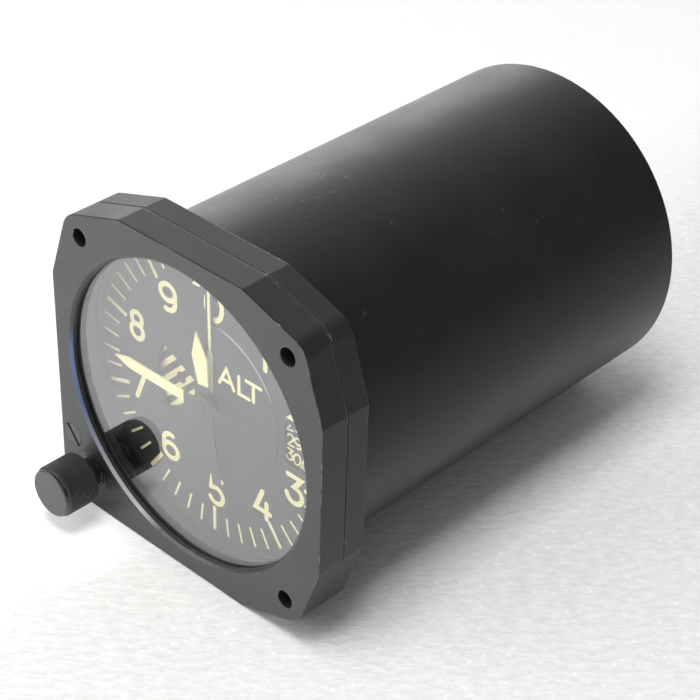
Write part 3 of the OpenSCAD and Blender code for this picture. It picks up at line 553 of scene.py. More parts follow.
def glass_finish():
    """Clear cover glass that light passes on its way to the dial."""
    material, tree, shader = finish_material("cover_glass")
    plain = {"Base Color": (1, 1, 1, 1), "Transmission Weight": 1.0, "IOR": 1.5, "Coat Weight": 1.0,
             "Coat IOR": 1.5, "Coat Roughness": 0.0}
    for label, value in plain.items():
        shader.inputs[label].default_value = value
    smears = noise(tree, object_place(tree, (30.0, 30.0, 60.0), (0.0, 0.5, 0.0)), 1.0, 4.0, 0.6)
    feed(tree, shader, Roughness=ramp(tree, smears, 0.4, 0.8, 0.0, 0.012))
    clear = put(tree, "ShaderNodeBsdfTransparent", {"Color": (0.97, 0.98, 0.98, 1)})
    path = put(tree, "ShaderNodeLightPath").outputs
    passed = calc(tree, "MAXIMUM", path["Is Shadow Ray"], path["Is Diffuse Ray"])
    mixed = put(tree, "ShaderNodeMixShader", {0: passed, 1: shader.outputs[0], 2: clear.outputs[0]})
    exit_node = next(node for node in tree.nodes if node.type == "OUTPUT_MATERIAL")
    tree.links.new(mixed.outputs[0], exit_node.inputs["Surface"])
    return material


def dress(material, *nodes):
    """Gives CAD nodes a finish."""
    for name in nodes:
        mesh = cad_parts[name].data
        mesh.materials.clear()
        mesh.materials.append(material)


# Mesh helpers. A point on the dial is (right, up), and depth is how far it stands out of the panel plane.


def face_point(right, up, depth):
    return Vector((right, -depth, up))


def curve(centre, radius, start, end, count=14, squeeze=1.0):
    """Points of an arc, angles in degrees counter-clockwise from the right."""
    points = []
    for step in range(count + 1):
        angle = math.radians(start + (end - start) * step / count)
        points.append((centre[0] + radius * math.cos(angle), centre[1] + radius * squeeze * math.sin(angle)))
    return points


def round_end(inside, end, half):
    """Points past a line's end, each with the half width that rounds the end off."""
    way = (Vector(end) - Vector(inside)).normalized()
    ends = []
    for share in (0.5, 0.85, 0.98):
        point = Vector(end) + way * half * share
        ends.append(((point.x, point.y), half * math.sqrt(1 - share * share)))
    return ends


def stroke(mesh, points, width, place, bottom, thickness, closed=False):
    """Lays a line of ink as a thin closed strip. place turns a flat point into dial coordinates."""
    half_stroke = width / 2
    line = [(point, half_stroke) for point in points]
    if not closed:
        start = round_end(points[1], points[0], half_stroke)[::-1]
        line = start + line + round_end(points[-2], points[-1], half_stroke)
    points = [point for point, half in line]
    count = len(points)
    sides = ([], [])
    for index, (point, half) in enumerate(line):
        before = points[index - 1] if index or closed else point
        after = points[(index + 1) % count] if index < count - 1 or closed else point
        first = Vector((point[0] - before[0], point[1] - before[1]))
        second = Vector((after[0] - point[0], after[1] - point[1]))
        first = first.normalized() if first.length > 1e-9 else second.normalized()
        second = second.normalized() if second.length > 1e-9 else first
        middle = (first + second).normalized()
        across = Vector((-middle.y, middle.x))
        reach = half / max(0.5, across.dot(Vector((-first.y, first.x))))
        for side, sign in zip(sides, (1, -1)):
            side.append((point[0] + across.x * reach * sign, point[1] + across.y * reach * sign))
    rings = []
    for index in range(count):
        ring = []
        for side, depth in ((0, bottom), (1, bottom), (1, bottom + thickness), (0, bottom + thickness)):
            right, up = place(*sides[side][index])
            ring.append(mesh.verts.new(face_point(right, up, depth)))
        rings.append(ring)
    for index in range(count if closed else count - 1):
        near, far = rings[index], rings[(index + 1) % count]
        for corner in range(4):
            after = (corner + 1) % 4
            mesh.faces.new((near[corner], near[after], far[after], far[corner]))
    if not closed:
        mesh.faces.new(rings[0])
        mesh.faces.new(reversed(rings[-1]))


def glyph_lines(glyph):
    """Strokes of a character one unit high, centred on its own middle: points and whether the line closes."""
    nine_tail = [(0.335, 0.2), (0.335, -0.1)] + curve((0.0, -0.15), 0.335, 0, -108, 14, 0.95)
    lines = {
        "0": [(curve((0, 0), 0.35, 0, 360, 32, 1.43)[:-1], True)],
        "1": [([(0, 0.5), (0, -0.5)], False)],
        "2": [(curve((0, 0.2), 0.3, 165, -35, 16) + [(-0.32, -0.5), (0.33, -0.5)], False)],
        "3": [([(-0.3, 0.5), (0.27, 0.5), (-0.02, 0.11)]
               + curve((-0.01, -0.2), 0.33, 75, -175, 20, 0.92), False)],
        "4": [([(-0.06, 0.5), (-0.36, -0.24), (0.28, -0.24)], False), ([(0.13, 0.1), (0.13, -0.5)], False)],
        "5": [([(0.24, 0.5), (-0.2, 0.5), (-0.25, 0.08)]
               + curve((-0.02, -0.18), 0.32, 125, -150, 20), False)],
        "9": [(curve((0, 0.17), 0.335, 0, 360, 26, 0.86)[:-1], True), (nine_tail, False)],
        "7": [([(-0.31, 0.5), (0.31, 0.5), (-0.1, -0.5)], False)],
        "8": [(curve((0, 0.25), 0.24, 0, 360, 22)[:-1], True),
              (curve((0, -0.23), 0.28, 0, 360, 24)[:-1], True)],
        "A": [([(-0.5, -0.5), (0, 0.5), (0.5, -0.5)], False), ([(-0.34, -0.2), (0.34, -0.2)], False)],
        "L": [([(-0.36, 0.5), (-0.36, -0.5), (0.34, -0.5)], False)],
        "T": [([(-0.5, 0.5), (0.5, 0.5)], False), ([(0, 0.5), (0, -0.5)], False)],
        ".": [([(0, -0.5), (0, -0.38)], False)],
    }
    lines["6"] = [([(-x, -y) for x, y in points], closed) for points, closed in lines["9"]]
    return lines[glyph]


def draw_glyph(mesh, glyph, height, width, place, bottom, ink):
    """Draws one character so that its ink keeps inside its height."""
    scale = height - width
    for order, (points, closed) in enumerate(glyph_lines(glyph)):
        scaled = [(x * scale, y * scale) for x, y in points]
        stroke(mesh, scaled, width, place, bottom, ink * (1 + 0.3 * order), closed)


def mesh_data(name, mesh, material):
    """Turns a bmesh into mesh data with one finish."""
    data = bpy.data.meshes.new(name)
    mesh.to_mesh(data)
    mesh.free()
    data.materials.append(material)
    return data


def show(name, data):
    """A new object in the scene."""
    shown = bpy.data.objects.new(name, data)
    bpy.context.scene.collection.objects.link(shown)
    return shown


def make_piece(name, mesh, material, body):
    """Turns a bmesh into a piece that rides a body."""
    bmesh.ops.recalc_face_normals(mesh, faces=mesh.faces)
    piece = show(name, mesh_data(name, mesh, material))
    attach(piece, body)


# Geometry Nodes helpers


def geometry_tree(name, inputs):
    """An empty Geometry Nodes tree with named inputs: the tree, its input sockets and its output sockets."""
    tree = bpy.data.node_groups.new(name, "GeometryNodeTree")
    tree.interface.new_socket("Geometry", in_out="INPUT", socket_type="NodeSocketGeometry")
    for label, kind in inputs:
        tree.interface.new_socket(label, in_out="INPUT", socket_type=kind)
    tree.interface.new_socket("Geometry", in_out="OUTPUT", socket_type="NodeSocketGeometry")
    return tree, put(tree, "NodeGroupInput").outputs, put(tree, "NodeGroupOutput").inputs


def grow(name, base, tree, values):
    """Runs a Geometry Nodes tree on a mesh and returns the result as a plain mesh object."""
    carrier = show(name + "_carrier", base)
    modifier = carrier.modifiers.new(name, "NODES")
    modifier.node_group = tree
    for item in tree.interface.items_tree:
        if item.in_out == "INPUT" and item.name in values:
            modifier[item.identifier] = values[item.name]
    bpy.context.view_layer.update()
    graph = bpy.context.evaluated_depsgraph_get()
    result = bpy.data.meshes.new_from_object(carrier.evaluated_get(graph))
    carrier.modifiers.remove(modifier)
    bpy.data.objects.remove(carrier)
    result.name = name
    return show(name, result)


def end_tree(tree, result, join_node, finish):
    """Ends a tree in real geometry with one finish."""
    solid = put(tree, "GeometryNodeRealizeInstances", {0: join_node.outputs[0]}).outputs[0]
    finished = put(tree, "GeometryNodeSetMaterial", {"Geometry": solid, "Material": finish}).outputs[0]
    tree.links.new(finished, result["Geometry"])


def polar_points(tree, count, angle, radius, depth):
    """Points around the case axis, each at its own clock angle, radius and depth."""
    points = put(tree, "GeometryNodePoints", {"Count": count}).outputs[0]
    right = times(tree, calc(tree, "SINE", angle), radius)
    up = times(tree, calc(tree, "COSINE", angle), radius)
    place = join(tree, right, times(tree, depth, -1.0), up)
    return put(tree, "GeometryNodeSetPosition", {"Geometry": points, "Position": place}).outputs[0]


def turned(tree, angle):
    """A turn about the case axis that takes up to a clock angle."""
    return put(tree, "FunctionNodeEulerToRotation", {0: join(tree, 0.0, angle, 0.0)}).outputs[0]


# Operators


class ALTIMETER_OT_finishes(bpy.types.Operator):
    """Give every carried-over node its finish"""

    bl_idname = "altimeter.finishes"
    bl_label = "Finish the metalwork"

    def execute(self, context):
        colours = context.scene.altimeter_finish
        paint, bare, black = tuple(colours.paint), tuple(colours.bare), tuple(colours.dial)
        worn_paint()
        brushed_metal()
        dust_and_age()
        rubbed_place, rubbed_reach = (-14 * MM, 28 * MM, 36 * MM), 32 * MM
        case = paint_finish("case_paint", paint, bare, 0.34, 0.26, 0.22, 1.52, rubbed_place, rubbed_reach)
        even_wall(case, "case")
        dress(case, "case")
        bezel = paint_finish("bezel_paint", paint, bare, 0.46, 0.31, 0.1)
        # The window's chamfer gets a painted highlight, bluish above and pale grey below.
        paint_window_edge_highlight(bezel, tint(106, 119, 154), tint(168, 167, 166))
        # Painted shade along the bezel's upper front edges, bare chips along its right edges.
        shade_and_chip_front_edges(bezel, bare)
        dress(bezel, "bezel")
        for name, colour, metal, gloss, chips, scuffs, node in (
            ("flange_paint", paint, bare, 0.48, 0.27, 0.12, "flange"),
            ("bushing_black", tint(20, 20, 21), bare, 0.38, 0.1, 0.05, "knob_bushing"),
            ("blackened_ring", tint(24, 24, 25), bare, 0.45, 0.1, 0.05, "retaining_ring"),
            ("lock_screw_black", tint(44, 44, 45), tint(140, 122, 80), 0.42, 0.31, 0.12, "lock_screw"),
        ):
            dress(paint_finish(name, colour, metal, gloss, chips, scuffs), node)
        for name, fresh, aged, dust, gloss, *nodes in (
            # The case gasket is painted light grey, near the paint, as painted light that offsets the shade
            # in its groove.
            ("seam_rubber_painted_light", tint(58, 58, 60), tint(46, 46, 47), 0.1, 0.6, "case_gasket"),
            ("gasket_rubber", tint(22, 22, 23), tint(30, 30, 30), 0.1, 0.75, "glass_gasket", "shaft_seal"),
            ("dial_black", black, tint(35, 37, 37), 0.06, 0.62, "dial", "baro_ring"),
        ):
            dress(flat_finish(name, fresh, aged, dust, gloss), *nodes)
        # The centre disc is black, with a pale painted highlight along its upper right edge.
        dress(lumed_finish("disc_black_painted_highlight", tint(226, 229, 236), black, disc_edge_highlight), "centre_disc")
        for name, metal, tarnish, gloss, age, *nodes in (
            ("steel", tint(190, 190, 192), tint(120, 116, 110), 0.28, 0.3,
             "bezel_screws", "plate_screws", "mechanism_screws", "frame_screws", "knob_set_screw",
             "knob_shaft", "first_arbor", "second_arbor", "drive_arbor", "rocking_shaft", "link", "pillars",
             "balance_weight"),
            ("blackened_steel", tint(52, 52, 54), tint(34, 33, 33), 0.45, 0.5,
             "pointer_staff", "thousand_sleeve", "ten_thousand_sleeve", "knob_pinion", "front_plate"),
            ("brass", tint(214, 180, 105), tint(120, 90, 48), 0.27, 0.4,
             "thousand_wheel", "ten_thousand_wheel", "first_wheel", "second_wheel", "drive_wheel",
             "sector_gear", "hairspring_stud"),
            ("plate_brass", tint(205, 178, 118), tint(128, 102, 62), 0.36, 0.5, "middle_plate", "rear_plate"),
            ("alloy", tint(180, 182, 184), tint(130, 130, 130), 0.42, 0.35, "aneroid_frame", "capsule_base"),
            ("capsule_bronze", tint(206, 168, 112), tint(140, 98, 60), 0.3, 0.5,
             "aneroid_capsules", "capsule_head", "bimetal_arm"),
            ("blued_steel", tint(70, 84, 130), tint(52, 50, 70), 0.25, 0.4, "hairspring"),
        ):
            dress(metal_finish(name, metal, tarnish, gloss, age), *nodes)
        ruby, tree, shader = finish_material("ruby")
        worked = use_effect(tree, "dust_and_age", Fresh=tint(150, 14, 40),
                            Aged=tint(190, 30, 60), Dust=0.02, Gloss=0.08)
        feed(tree, shader, Base_Color=worked["Color"], Roughness=worked["Roughness"])
        dress(ruby, "jewel_bearings")
        dress(glass_finish(), "cover_glass")
        return {"FINISHED"}


class ALTIMETER_OT_pointers(bpy.types.Operator):
    """Lay lume on the three pointers and stripes on the flag"""

    bl_idname = "altimeter.pointers"
    bl_label = "Lume the pointers"

    def execute(self, context):
        lume = tuple(context.scene.altimeter_finish.lume)
        black = tint(26, 27, 27)
        for name, mask_of, node in (
            ("hundred_pointer_lume", hundred_lume, "hundred_foot_pointer"),
            ("thousand_pointer_lume", thousand_lume, "thousand_foot_pointer"),
            ("ten_thousand_pointer_lume", ten_thousand_lume, "ten_thousand_foot_pointer"),
            ("flag_stripes", flag_stripes, "warning_flag"),
        ):
            dress(lumed_finish(name, lume, black, mask_of), node)
        return {"FINISHED"}


class ALTIMETER_OT_aneroid_stack(bpy.types.Operator):
    """Replace the aneroid capsules with one merged mesh whose creases stay sharp"""

    bl_idname = "altimeter.aneroid_stack"
    bl_label = "Seat the aneroid stack"

    def execute(self, context):
        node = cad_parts["aneroid_capsules"]
        merge_gap, crease = 0.001 * MM, math.radians(30)
        mesh = bmesh.new()
        mesh.from_mesh(node.data)
        bmesh.ops.remove_doubles(mesh, verts=mesh.verts, dist=merge_gap)
        stack = show("aneroid_stack", mesh_data("aneroid_stack", mesh, node.data.materials[0]))
        stack.data.set_sharp_from_angle(angle=crease)
        low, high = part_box("aneroid_capsules")
        middle = (low + high) / 2
        fixed, moving = low.z, high.z
        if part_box("capsule_base")[0].z > middle.z:
            fixed, moving = moving, fixed
        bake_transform(stack)
        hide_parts("aneroid_capsules")
        return {"FINISHED"}


class ALTIMETER_OT_dial_marks(bpy.types.Operator):
    """Print the marks around the dial"""

    bl_idname = "altimeter.dial_marks"
    bl_label = "Print the dial marks"

    def execute(self, context):
        dial = context.scene.altimeter_dial
        lume = tuple(context.scene.altimeter_finish.lume)
        ink = flat_finish("dial_ink", lume, faded(lume, 0.92, 0.89, 0.8), 0.04, 0.6)
        marks_per_numeral = 5.0
        front = -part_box("dial")[0].y
        sizes = ["Outer", "Long inner", "Short inner", "Long width", "Short width", "Ink", "Front"]
        inputs = [("Divisions", "NodeSocketInt")] + [(size, "NodeSocketFloat") for size in sizes]
        tree, given, result = geometry_tree("dial_marks", inputs + [("Lume", "NodeSocketMaterial")])
        index = put(tree, "GeometryNodeInputIndex").outputs[0]
        angle = calc(tree, "DIVIDE", times(tree, index, 2 * math.pi), given["Divisions"])
        is_long = calc(tree, "LESS_THAN", calc(tree, "MODULO", index, marks_per_numeral), 0.5)
        depth = calc(tree, "ADD", given["Front"], times(tree, given["Ink"], 0.6))
        joined = put(tree, "GeometryNodeJoinGeometry")
        for kind in ("Long", "Short"):
            inner = given[kind + " inner"]
            middle = times(tree, calc(tree, "ADD", given["Outer"], inner), 0.5)
            length = calc(tree, "SUBTRACT", given["Outer"], inner)
            size = join(tree, given[kind + " width"], given["Ink"], length)
            bar = put(tree, "GeometryNodeMeshCube", {"Size": size}).outputs["Mesh"]
            chosen = is_long if kind == "Long" else calc(tree, "SUBTRACT", 1.0, is_long)
            marks = put(tree, "GeometryNodeInstanceOnPoints", {
                "Points": polar_points(tree, given["Divisions"], angle, middle, depth), "Selection": chosen,
                "Instance": bar, "Rotation": turned(tree, angle)})
            tree.links.new(marks.outputs[0], joined.inputs[0])
        end_tree(tree, result, joined, given["Lume"])
        marks = grow("dial_marks", bpy.data.meshes.new("dial_marks_seed"), tree, {
            "Divisions": dial.divisions, "Outer": dial.mark_outer, "Long inner": dial.major_inner,
            "Short inner": dial.minor_inner, "Long width": dial.major_width, "Short width": dial.minor_width,
            "Ink": dial.ink, "Front": front, "Lume": ink})
        if len(marks.data.polygons) < dial.divisions * 6:
            raise RuntimeError("the dial marks came out incomplete")
        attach(marks, "housing")
        return {"FINISHED"}


class ALTIMETER_OT_dial_numerals(bpy.types.Operator):
    """Print the numerals and the function word on the dial"""

    bl_idname = "altimeter.dial_numerals"
    bl_label = "Print the numerals"

    def execute(self, context):
        dial = context.scene.altimeter_dial
        ink = bpy.data.materials["dial_ink"]
        front = -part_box("dial")[0].y + 0.1 * dial.ink
        places = {
            "0": (0.5, 24.6), "1": (15.85, 19.4), "2": (25.4, 11.1), "3": (24.9, -10.6), "4": (15.6, -19.9),
            "5": (0.7, -24.5), "6": (-14.2, -19.9), "7": (-24.4, -7.9), "8": (-24.3, 8.1), "9": (-13.9, 20.3),
        }
        mesh = bmesh.new()
        for glyph, (right, up) in places.items():
            def place(x, y, right=right, up=up):
                return right * MM + x, up * MM + y
            draw_glyph(mesh, glyph, dial.numeral_height, dial.numeral_stroke, place, front, dial.ink)
        make_piece("dial_numerals", mesh, ink, "housing")
        raised = -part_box("centre_disc")[0].y + 0.1 * dial.ink
        mesh = bmesh.new()
        word_up, word_height, word_stroke = 8.5 * MM, 5.3 * MM, 0.92 * MM
        for glyph, right in (("A", 4.5), ("L", 9.85), ("T", 12.65)):
            def place(x, y, right=right):
                return right * MM + x, word_up + y
            draw_glyph(mesh, glyph, word_height, word_stroke, place, raised, dial.ink)
        make_piece("dial_function_word", mesh, ink, "housing")
        return {"FINISHED"}


class ALTIMETER_OT_scale_numbers(bpy.types.Operator):
    """Print the numbers on the barometric scale ring"""

    bl_idname = "altimeter.scale_numbers"
    bl_label = "Print the barometric scale"

    def execute(self, context):
        dial = context.scene.altimeter_dial
        ink = bpy.data.materials["dial_ink"]
        front = -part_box("baro_ring")[0].y + 0.1 * dial.ink
        lowest, highest, at_rest = 281, 310, 299.285  # in tenths of an inch of mercury
        digit_radii = (22.6, 24.8, 26.1, 27.4)
        digit_stroke = 0.5 * MM
        mesh = bmesh.new()
        for tenth in range(lowest, highest + 1):
            turn = (tenth - at_rest) * dial.scale_step
            for glyph, out in zip(f"{tenth / 10:.1f}", digit_radii):
                def place(x, y, out=out, turn=turn):
                    right, up = out * MM + x, y
                    return (right * math.cos(turn) + up * math.sin(turn),
                            up * math.cos(turn) - right * math.sin(turn))
                draw_glyph(mesh, glyph, dial.scale_height, digit_stroke, place, front, dial.ink)
        make_piece("scale_numbers", mesh, ink, "baro_scale")
        return {"FINISHED"}


class ALTIMETER_OT_setting_knob(bpy.types.Operator):
    """Turn the setting knob and cut its diamond knurl"""

    bl_idname = "altimeter.setting_knob"
    bl_label = "Knurl the setting knob"

    def execute(self, context):
        knob = context.scene.altimeter_knob
        low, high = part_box("knob")
        centre = Vector(((low.x + high.x) / 2, 0.0, (low.z + high.z) / 2))
        radius = half_width("knob")
        back, front = -high.y, -low.y
        knurl_start, knurl_margin = 0.65 * MM, 1.5 * MM
        finish = paint_finish("knob_black", tint(38, 39, 41), tint(150, 151, 154), 0.32, -1.0, -1.0)
        root = radius - knob.depth
        body = self.turned_body(centre, root, back, front, finish)
        pitch = 2 * math.pi * radius / knob.teeth
        rows = int((front - back - knurl_margin) / (pitch / 2))
        tree = self.knurl_tree()
        piece = grow("setting_knob", body, tree, {
            "Teeth": knob.teeth, "Rows": rows, "Root": root, "Height": knob.depth, "Pitch": pitch,
            "Start": back + knurl_start, "Centre": centre, "Finish": finish})
        if len(piece.data.polygons) < knob.teeth * rows * 4:
            raise RuntimeError("the knurl came out incomplete")
        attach(piece, "knob")
        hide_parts("knob")
        return {"FINISHED"}

    def turned_body(self, centre, root, back, front, finish):
        """The knob's core as turned on a lathe, bored for its shaft."""
        shaft = half_width("knob_shaft")
        bore_end = -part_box("knob_shaft")[0].y
        profile = [
            (shaft, bore_end), (shaft, back), (root - 0.5 * MM, back), (root - 0.12 * MM, back + 0.12 * MM),
            (root, back + 0.45 * MM), (root, front - 0.95 * MM), (root - 0.32 * MM, front - 0.85 * MM),
            (root - 0.32 * MM, front - 0.62 * MM), (root - 0.02 * MM, front - 0.55 * MM),
            (root - 0.02 * MM, front - 0.3 * MM), (root - 0.32 * MM, front), (root * 0.5, front),
        ]
        mesh = bmesh.new()
        count = 96
        rings = []
        for reach, depth in profile:
            ring = []
            for step in range(count):
                angle = 2 * math.pi * step / count
                ring.append(mesh.verts.new(
                    centre + Vector((reach * math.sin(angle), -depth, reach * math.cos(angle)))))
            rings.append(ring)
        for inner, outer in zip(rings, rings[1:]):
            for step in range(count):
                after = (step + 1) % count
                mesh.faces.new((inner[step], inner[after], outer[after], outer[step]))
        mesh.faces.new(rings[-1])
        mesh.faces.new(reversed(rings[0]))
        bmesh.ops.recalc_face_normals(mesh, faces=mesh.faces)
        return mesh_data("setting_knob_core", mesh, finish)

    def knurl_tree(self):
        """Rows of four-sided points, each row half a tooth on from the last."""
        tree, given, result = geometry_tree("diamond_knurl", [
            ("Teeth", "NodeSocketInt"), ("Rows", "NodeSocketInt"), ("Root", "NodeSocketFloat"),
            ("Height", "NodeSocketFloat"), ("Pitch", "NodeSocketFloat"), ("Start", "NodeSocketFloat"),
            ("Centre", "NodeSocketVector"), ("Finish", "NodeSocketMaterial")])
        index = put(tree, "GeometryNodeInputIndex").outputs[0]
        row = calc(tree, "FLOOR", calc(tree, "DIVIDE", calc(tree, "ADD", index, 0.5), given["Teeth"]))
        tooth = calc(tree, "ADD", index, times(tree, calc(tree, "MODULO", row, 2.0), 0.5))
        angle = calc(tree, "DIVIDE", times(tree, tooth, 2 * math.pi), given["Teeth"])
        count = times(tree, given["Teeth"], given["Rows"])
        half = times(tree, given["Pitch"], 0.5)
        depth = calc(tree, "ADD", given["Start"], times(tree, row, half))
        overlap, blunt = 0.04 * MM, 0.22
        sink = calc(tree, "SUBTRACT", given["Root"], overlap)
        tall = calc(tree, "ADD", given["Height"], overlap)
        tip = put(tree, "GeometryNodeMeshCone", {
            "Vertices": 4, "Radius Top": times(tree, half, blunt), "Radius Bottom": half, "Depth": tall})
        points = polar_points(tree, count, angle, sink, depth)
        diamonds = put(tree, "GeometryNodeInstanceOnPoints", {
            "Points": points, "Instance": tip.outputs["Mesh"], "Rotation": turned(tree, angle)}).outputs[0]
        moved = put(tree, "GeometryNodeTransform", {
            "Geometry": diamonds, "Translation": given["Centre"]}).outputs[0]
        joined = put(tree, "GeometryNodeJoinGeometry")
        tree.links.new(given["Geometry"], joined.inputs[0])
        tree.links.new(moved, joined.inputs[0])
        end_tree(tree, result, joined, given["Finish"])
        return tree


class ALTIMETER_OT_stage(bpy.types.Operator):
    """Set the floor, the window light and the camera"""

    bl_idname = "altimeter.stage"
    bl_label = "Set the stage"

    def execute(self, context):
        stage = context.scene.altimeter_stage
        context.scene.view_settings.view_transform = "Standard"
        self.lay_floor(tuple(stage.floor))
        self.light_room(stage)
        self.place_camera()
        return {"FINISHED"}

    def lay_floor(self, colour):
        """A pale woven floor on which the flange and the case's rear end both rest."""
        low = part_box("flange")[0].z
        slope = (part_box("case")[0].z - low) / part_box("case")[1].y
        reach, gap = 4.0, 0.05 * MM
        mesh = bmesh.new()
        corners = [(-reach, -reach), (reach, -reach), (reach, reach), (-reach, reach)]
        mesh.faces.new([mesh.verts.new((x, y, low - gap + slope * y)) for x, y in corners])
        show("floor", mesh_data("floor", mesh, self.floor_finish(colour, low)))

    def floor_finish(self, colour, low):
        """White cloth with streaks and flecks. Painted shade greys it to the right. In reflections it is
        painted darker to the right and given a painted glow at the front left, and painted light lifts the
        knob's shadow.
        """
        streak_turn, streak_scale, fleck_scale = -0.757, (280.0, 700.0, 1.0), 400.0
        below_knob = (-34 * MM, -21 * MM, low)
        material, tree, shader = finish_material("white_cloth")
        place = object_place(tree)
        spot = split(tree, place)
        laid = object_place(tree, (1.0, 1.0, 1.0), (0.0, 0.0, streak_turn))
        woven = put(tree, "ShaderNodeMapping", {"Vector": laid, "Scale": streak_scale}).outputs["Vector"]
        fibres = noise(tree, woven, 1.0, 4.0, 0.65)
        beads = cells(tree, laid, fleck_scale)
        fleck = times(tree, ramp(tree, beads, 0.24, 0.1), ramp(tree, fibres, 0.4, 0.54))
        path = put(tree, "ShaderNodeLightPath").outputs
        # painted shade: the cloth greys towards the right, less where flecks and fibres lie
        painted_shade_share = calc(tree, "SUBTRACT", ramp(tree, spot["X"], -55 * MM, 0.0), fleck, clamp=True)
        painted_shade_share = times(tree, painted_shade_share, ramp(tree, fibres, 0.3, 0.7, 1.0, 0.3))
        shade = blend_colour(tree, painted_shade_share, colour, faded(colour, 0.78, 0.78, 0.78))
        # painted shade: darker to the right where the floor is seen in reflections
        mirror_shade = times(tree, path["Is Glossy Ray"], ramp(tree, spot["X"], 20 * MM, 130 * MM, 0.0, 0.7))
        shade = blend_colour(tree, mirror_shade, shade, (0.1, 0.1, 0.1, 1))
        # painted glow: the floor shines in reflections near the front and the left
        clear = calc(tree, "MAXIMUM", ramp(tree, spot["Y"], -6 * MM, -22 * MM),
                     ramp(tree, spot["X"], -30 * MM, -60 * MM))
        glow = times(tree, path["Is Glossy Ray"], times(tree, clear, 0.22))
        # painted light: lifts the knob's shadow on the floor as the camera sees it
        apart = vector_calc(tree, "DISTANCE", place, below_knob)
        shadow_lift = times(tree, path["Is Camera Ray"], ramp(tree, apart, 26 * MM, 8 * MM, 0.0, 0.3))
        feed(tree, shader, Base_Color=shade, Emission_Strength=calc(tree, "ADD", glow, shadow_lift),
             Normal=relief(tree, fibres, 0.4, 1.0 * MM))
        shader.inputs["Emission Color"].default_value = colour
        shader.inputs["Roughness"].default_value = 0.9
        shader.inputs["Specular IOR Level"].default_value = 0.1
        return material

    def hang_lamp(self, name, power, place, size):
        """A soft rectangular lamp that points at the case."""
        lamp = bpy.data.lights.new(name, "AREA")
        lamp.shape = "RECTANGLE"
        lamp.size, lamp.size_y = size
        lamp.energy = power
        warm_white, aimed_at = (1.0, 0.985, 0.96), Vector((0.0, 40 * MM, 0.0))
        lamp.color = warm_white
        hung = show(name, lamp)
        hung.location = place
        hung.rotation_euler = (aimed_at - hung.location).to_track_quat("-Z", "Y").to_euler()
        return hung

    def light_room(self, stage):
        """Hangs three soft lamps under a sky whose mirror image is bright at the left and in one pane."""
        pane_way = (0.25, -0.76, 0.6)
        self.hang_lamp("key_light", stage.key, (0.04, -0.17, 1.0), (0.45, 0.45)).visible_glossy = False
        self.hang_lamp("window_light", stage.window, (-0.9, 0.72, 0.22), (1.0, 0.6))
        self.hang_lamp("fill_light", stage.fill, (-0.5, -0.72, 0.34), (0.8, 0.5))
        world = bpy.data.worlds.new("studio")
        world.use_nodes = True
        tree = world.node_tree
        tree.nodes.clear()
        around = put(tree, "ShaderNodeTexCoord").outputs["Generated"]
        way = split(tree, around)
        path = put(tree, "ShaderNodeLightPath").outputs
        seen = calc(tree, "MAXIMUM", path["Is Glossy Ray"], path["Is Transmission Ray"])
        lit = ramp(tree, way["X"], 0.5, -0.5, 0.7 * stage.sky, stage.sky)
        mirrored = ramp(tree, way["X"], 0.2, -0.95, 0.05, 1.0)
        mirrored = times(tree, mirrored, ramp(tree, way["Y"], -0.2, 0.25, 0.04, 1.0))
        pane = ramp(tree, vector_calc(tree, "DOT_PRODUCT", around, pane_way), 0.72, 0.92)
        mirrored = calc(tree, "MAXIMUM", mirrored, pane)
        strength = put(tree, "ShaderNodeMix", {0: seen, 2: lit, 3: mirrored}).outputs[0]
        strength = calc(tree, "MAXIMUM", strength, path["Is Camera Ray"])
        sky_light = put(tree, "ShaderNodeBackground", {"Color": (0.92, 0.96, 1.0, 1), "Strength": strength})
        put(tree, "ShaderNodeOutputWorld", {"Surface": sky_light.outputs[0]})
        bpy.context.scene.world = world

    def place_camera(self):
        lens = bpy.data.cameras.new("camera")
        lens.sensor_fit = "HORIZONTAL"
        lens.sensor_width = 36.0
        lens.lens = 103.04
        lens.clip_start = 0.01
        lens.clip_end = 50.0
        camera = show("camera", lens)
        right = Vector((0.72608917, 0.68703836, 0.02779934))
        up = Vector((-0.40475059, 0.39437422, 0.82501268))
        back = -Vector((-0.55585202, 0.61028458, -0.56443004))
        turn = Matrix((right, up, back)).transposed().to_4x4()
        stand = Vector((257.638, -243.715, 254.242)) * MM
        camera.matrix_world = Matrix.Translation(stand) @ turn
        bpy.context.scene.camera = camera


class ALTIMETER_PT_panel(bpy.types.Panel):
    """Lists the altimeter's steps and their settings"""

    bl_idname = "ALTIMETER_PT_panel"
    bl_label = "Altimeter"
    bl_space_type = "VIEW_3D"
    bl_region_type = "UI"
    bl_category = "Altimeter"

    def draw(self, context):
        for operator in OPERATORS:
            self.layout.operator(operator.bl_idname)
        for group in (getattr(context.scene, setting) for setting in SETTINGS):
            box = self.layout.box()
            for name in group.__annotations__:
                box.prop(group, name)


OPERATORS = (
    ALTIMETER_OT_stage, ALTIMETER_OT_finishes, ALTIMETER_OT_pointers, ALTIMETER_OT_aneroid_stack,
    ALTIMETER_OT_dial_marks, ALTIMETER_OT_dial_numerals, ALTIMETER_OT_scale_numbers,
    ALTIMETER_OT_setting_knob,
)
SETTINGS = {
    "altimeter_dial": DialSettings, "altimeter_knob": KnobSettings, "altimeter_finish": FinishSettings,
    "altimeter_stage": StageSettings,
}


def register():
    for group in SETTINGS.values():
        bpy.utils.register_class(group)
    for name, group in SETTINGS.items():
        setattr(bpy.types.Scene, name, bpy.props.PointerProperty(type=group))
    for kind in (*OPERATORS, ALTIMETER_PT_panel):
        bpy.utils.register_class(kind)


def unregister():
    for kind in reversed((*OPERATORS, ALTIMETER_PT_panel)):
        bpy.utils.unregister_class(kind)
    for name, group in SETTINGS.items():
        delattr(bpy.types.Scene, name)
        bpy.utils.unregister_class(group)


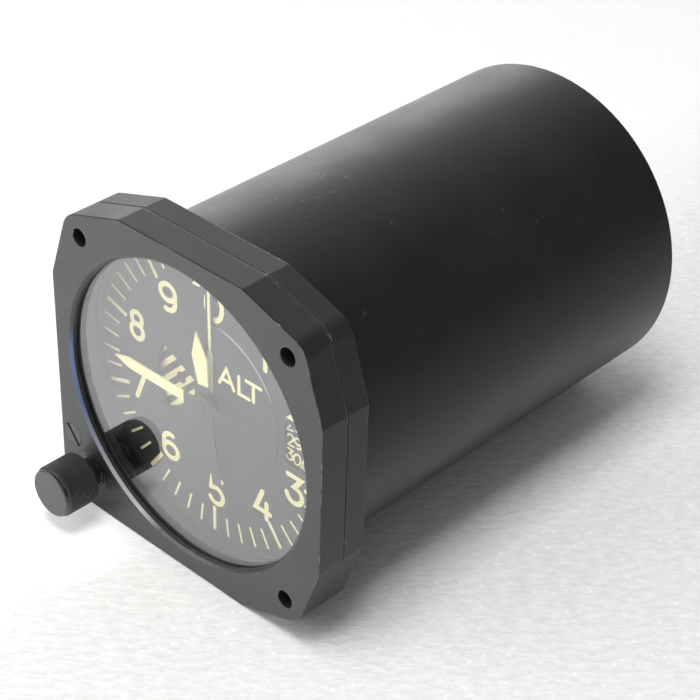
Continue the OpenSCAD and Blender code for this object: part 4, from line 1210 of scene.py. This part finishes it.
def main():
    register()
    bpy.ops.altimeter.stage()
    bpy.ops.altimeter.finishes()
    bpy.ops.altimeter.pointers()
    bpy.ops.altimeter.aneroid_stack()
    bpy.ops.altimeter.dial_marks()
    bpy.ops.altimeter.dial_numerals()
    bpy.ops.altimeter.scale_numbers()
    bpy.ops.altimeter.setting_knob()


if __name__ == "__main__":
    main()
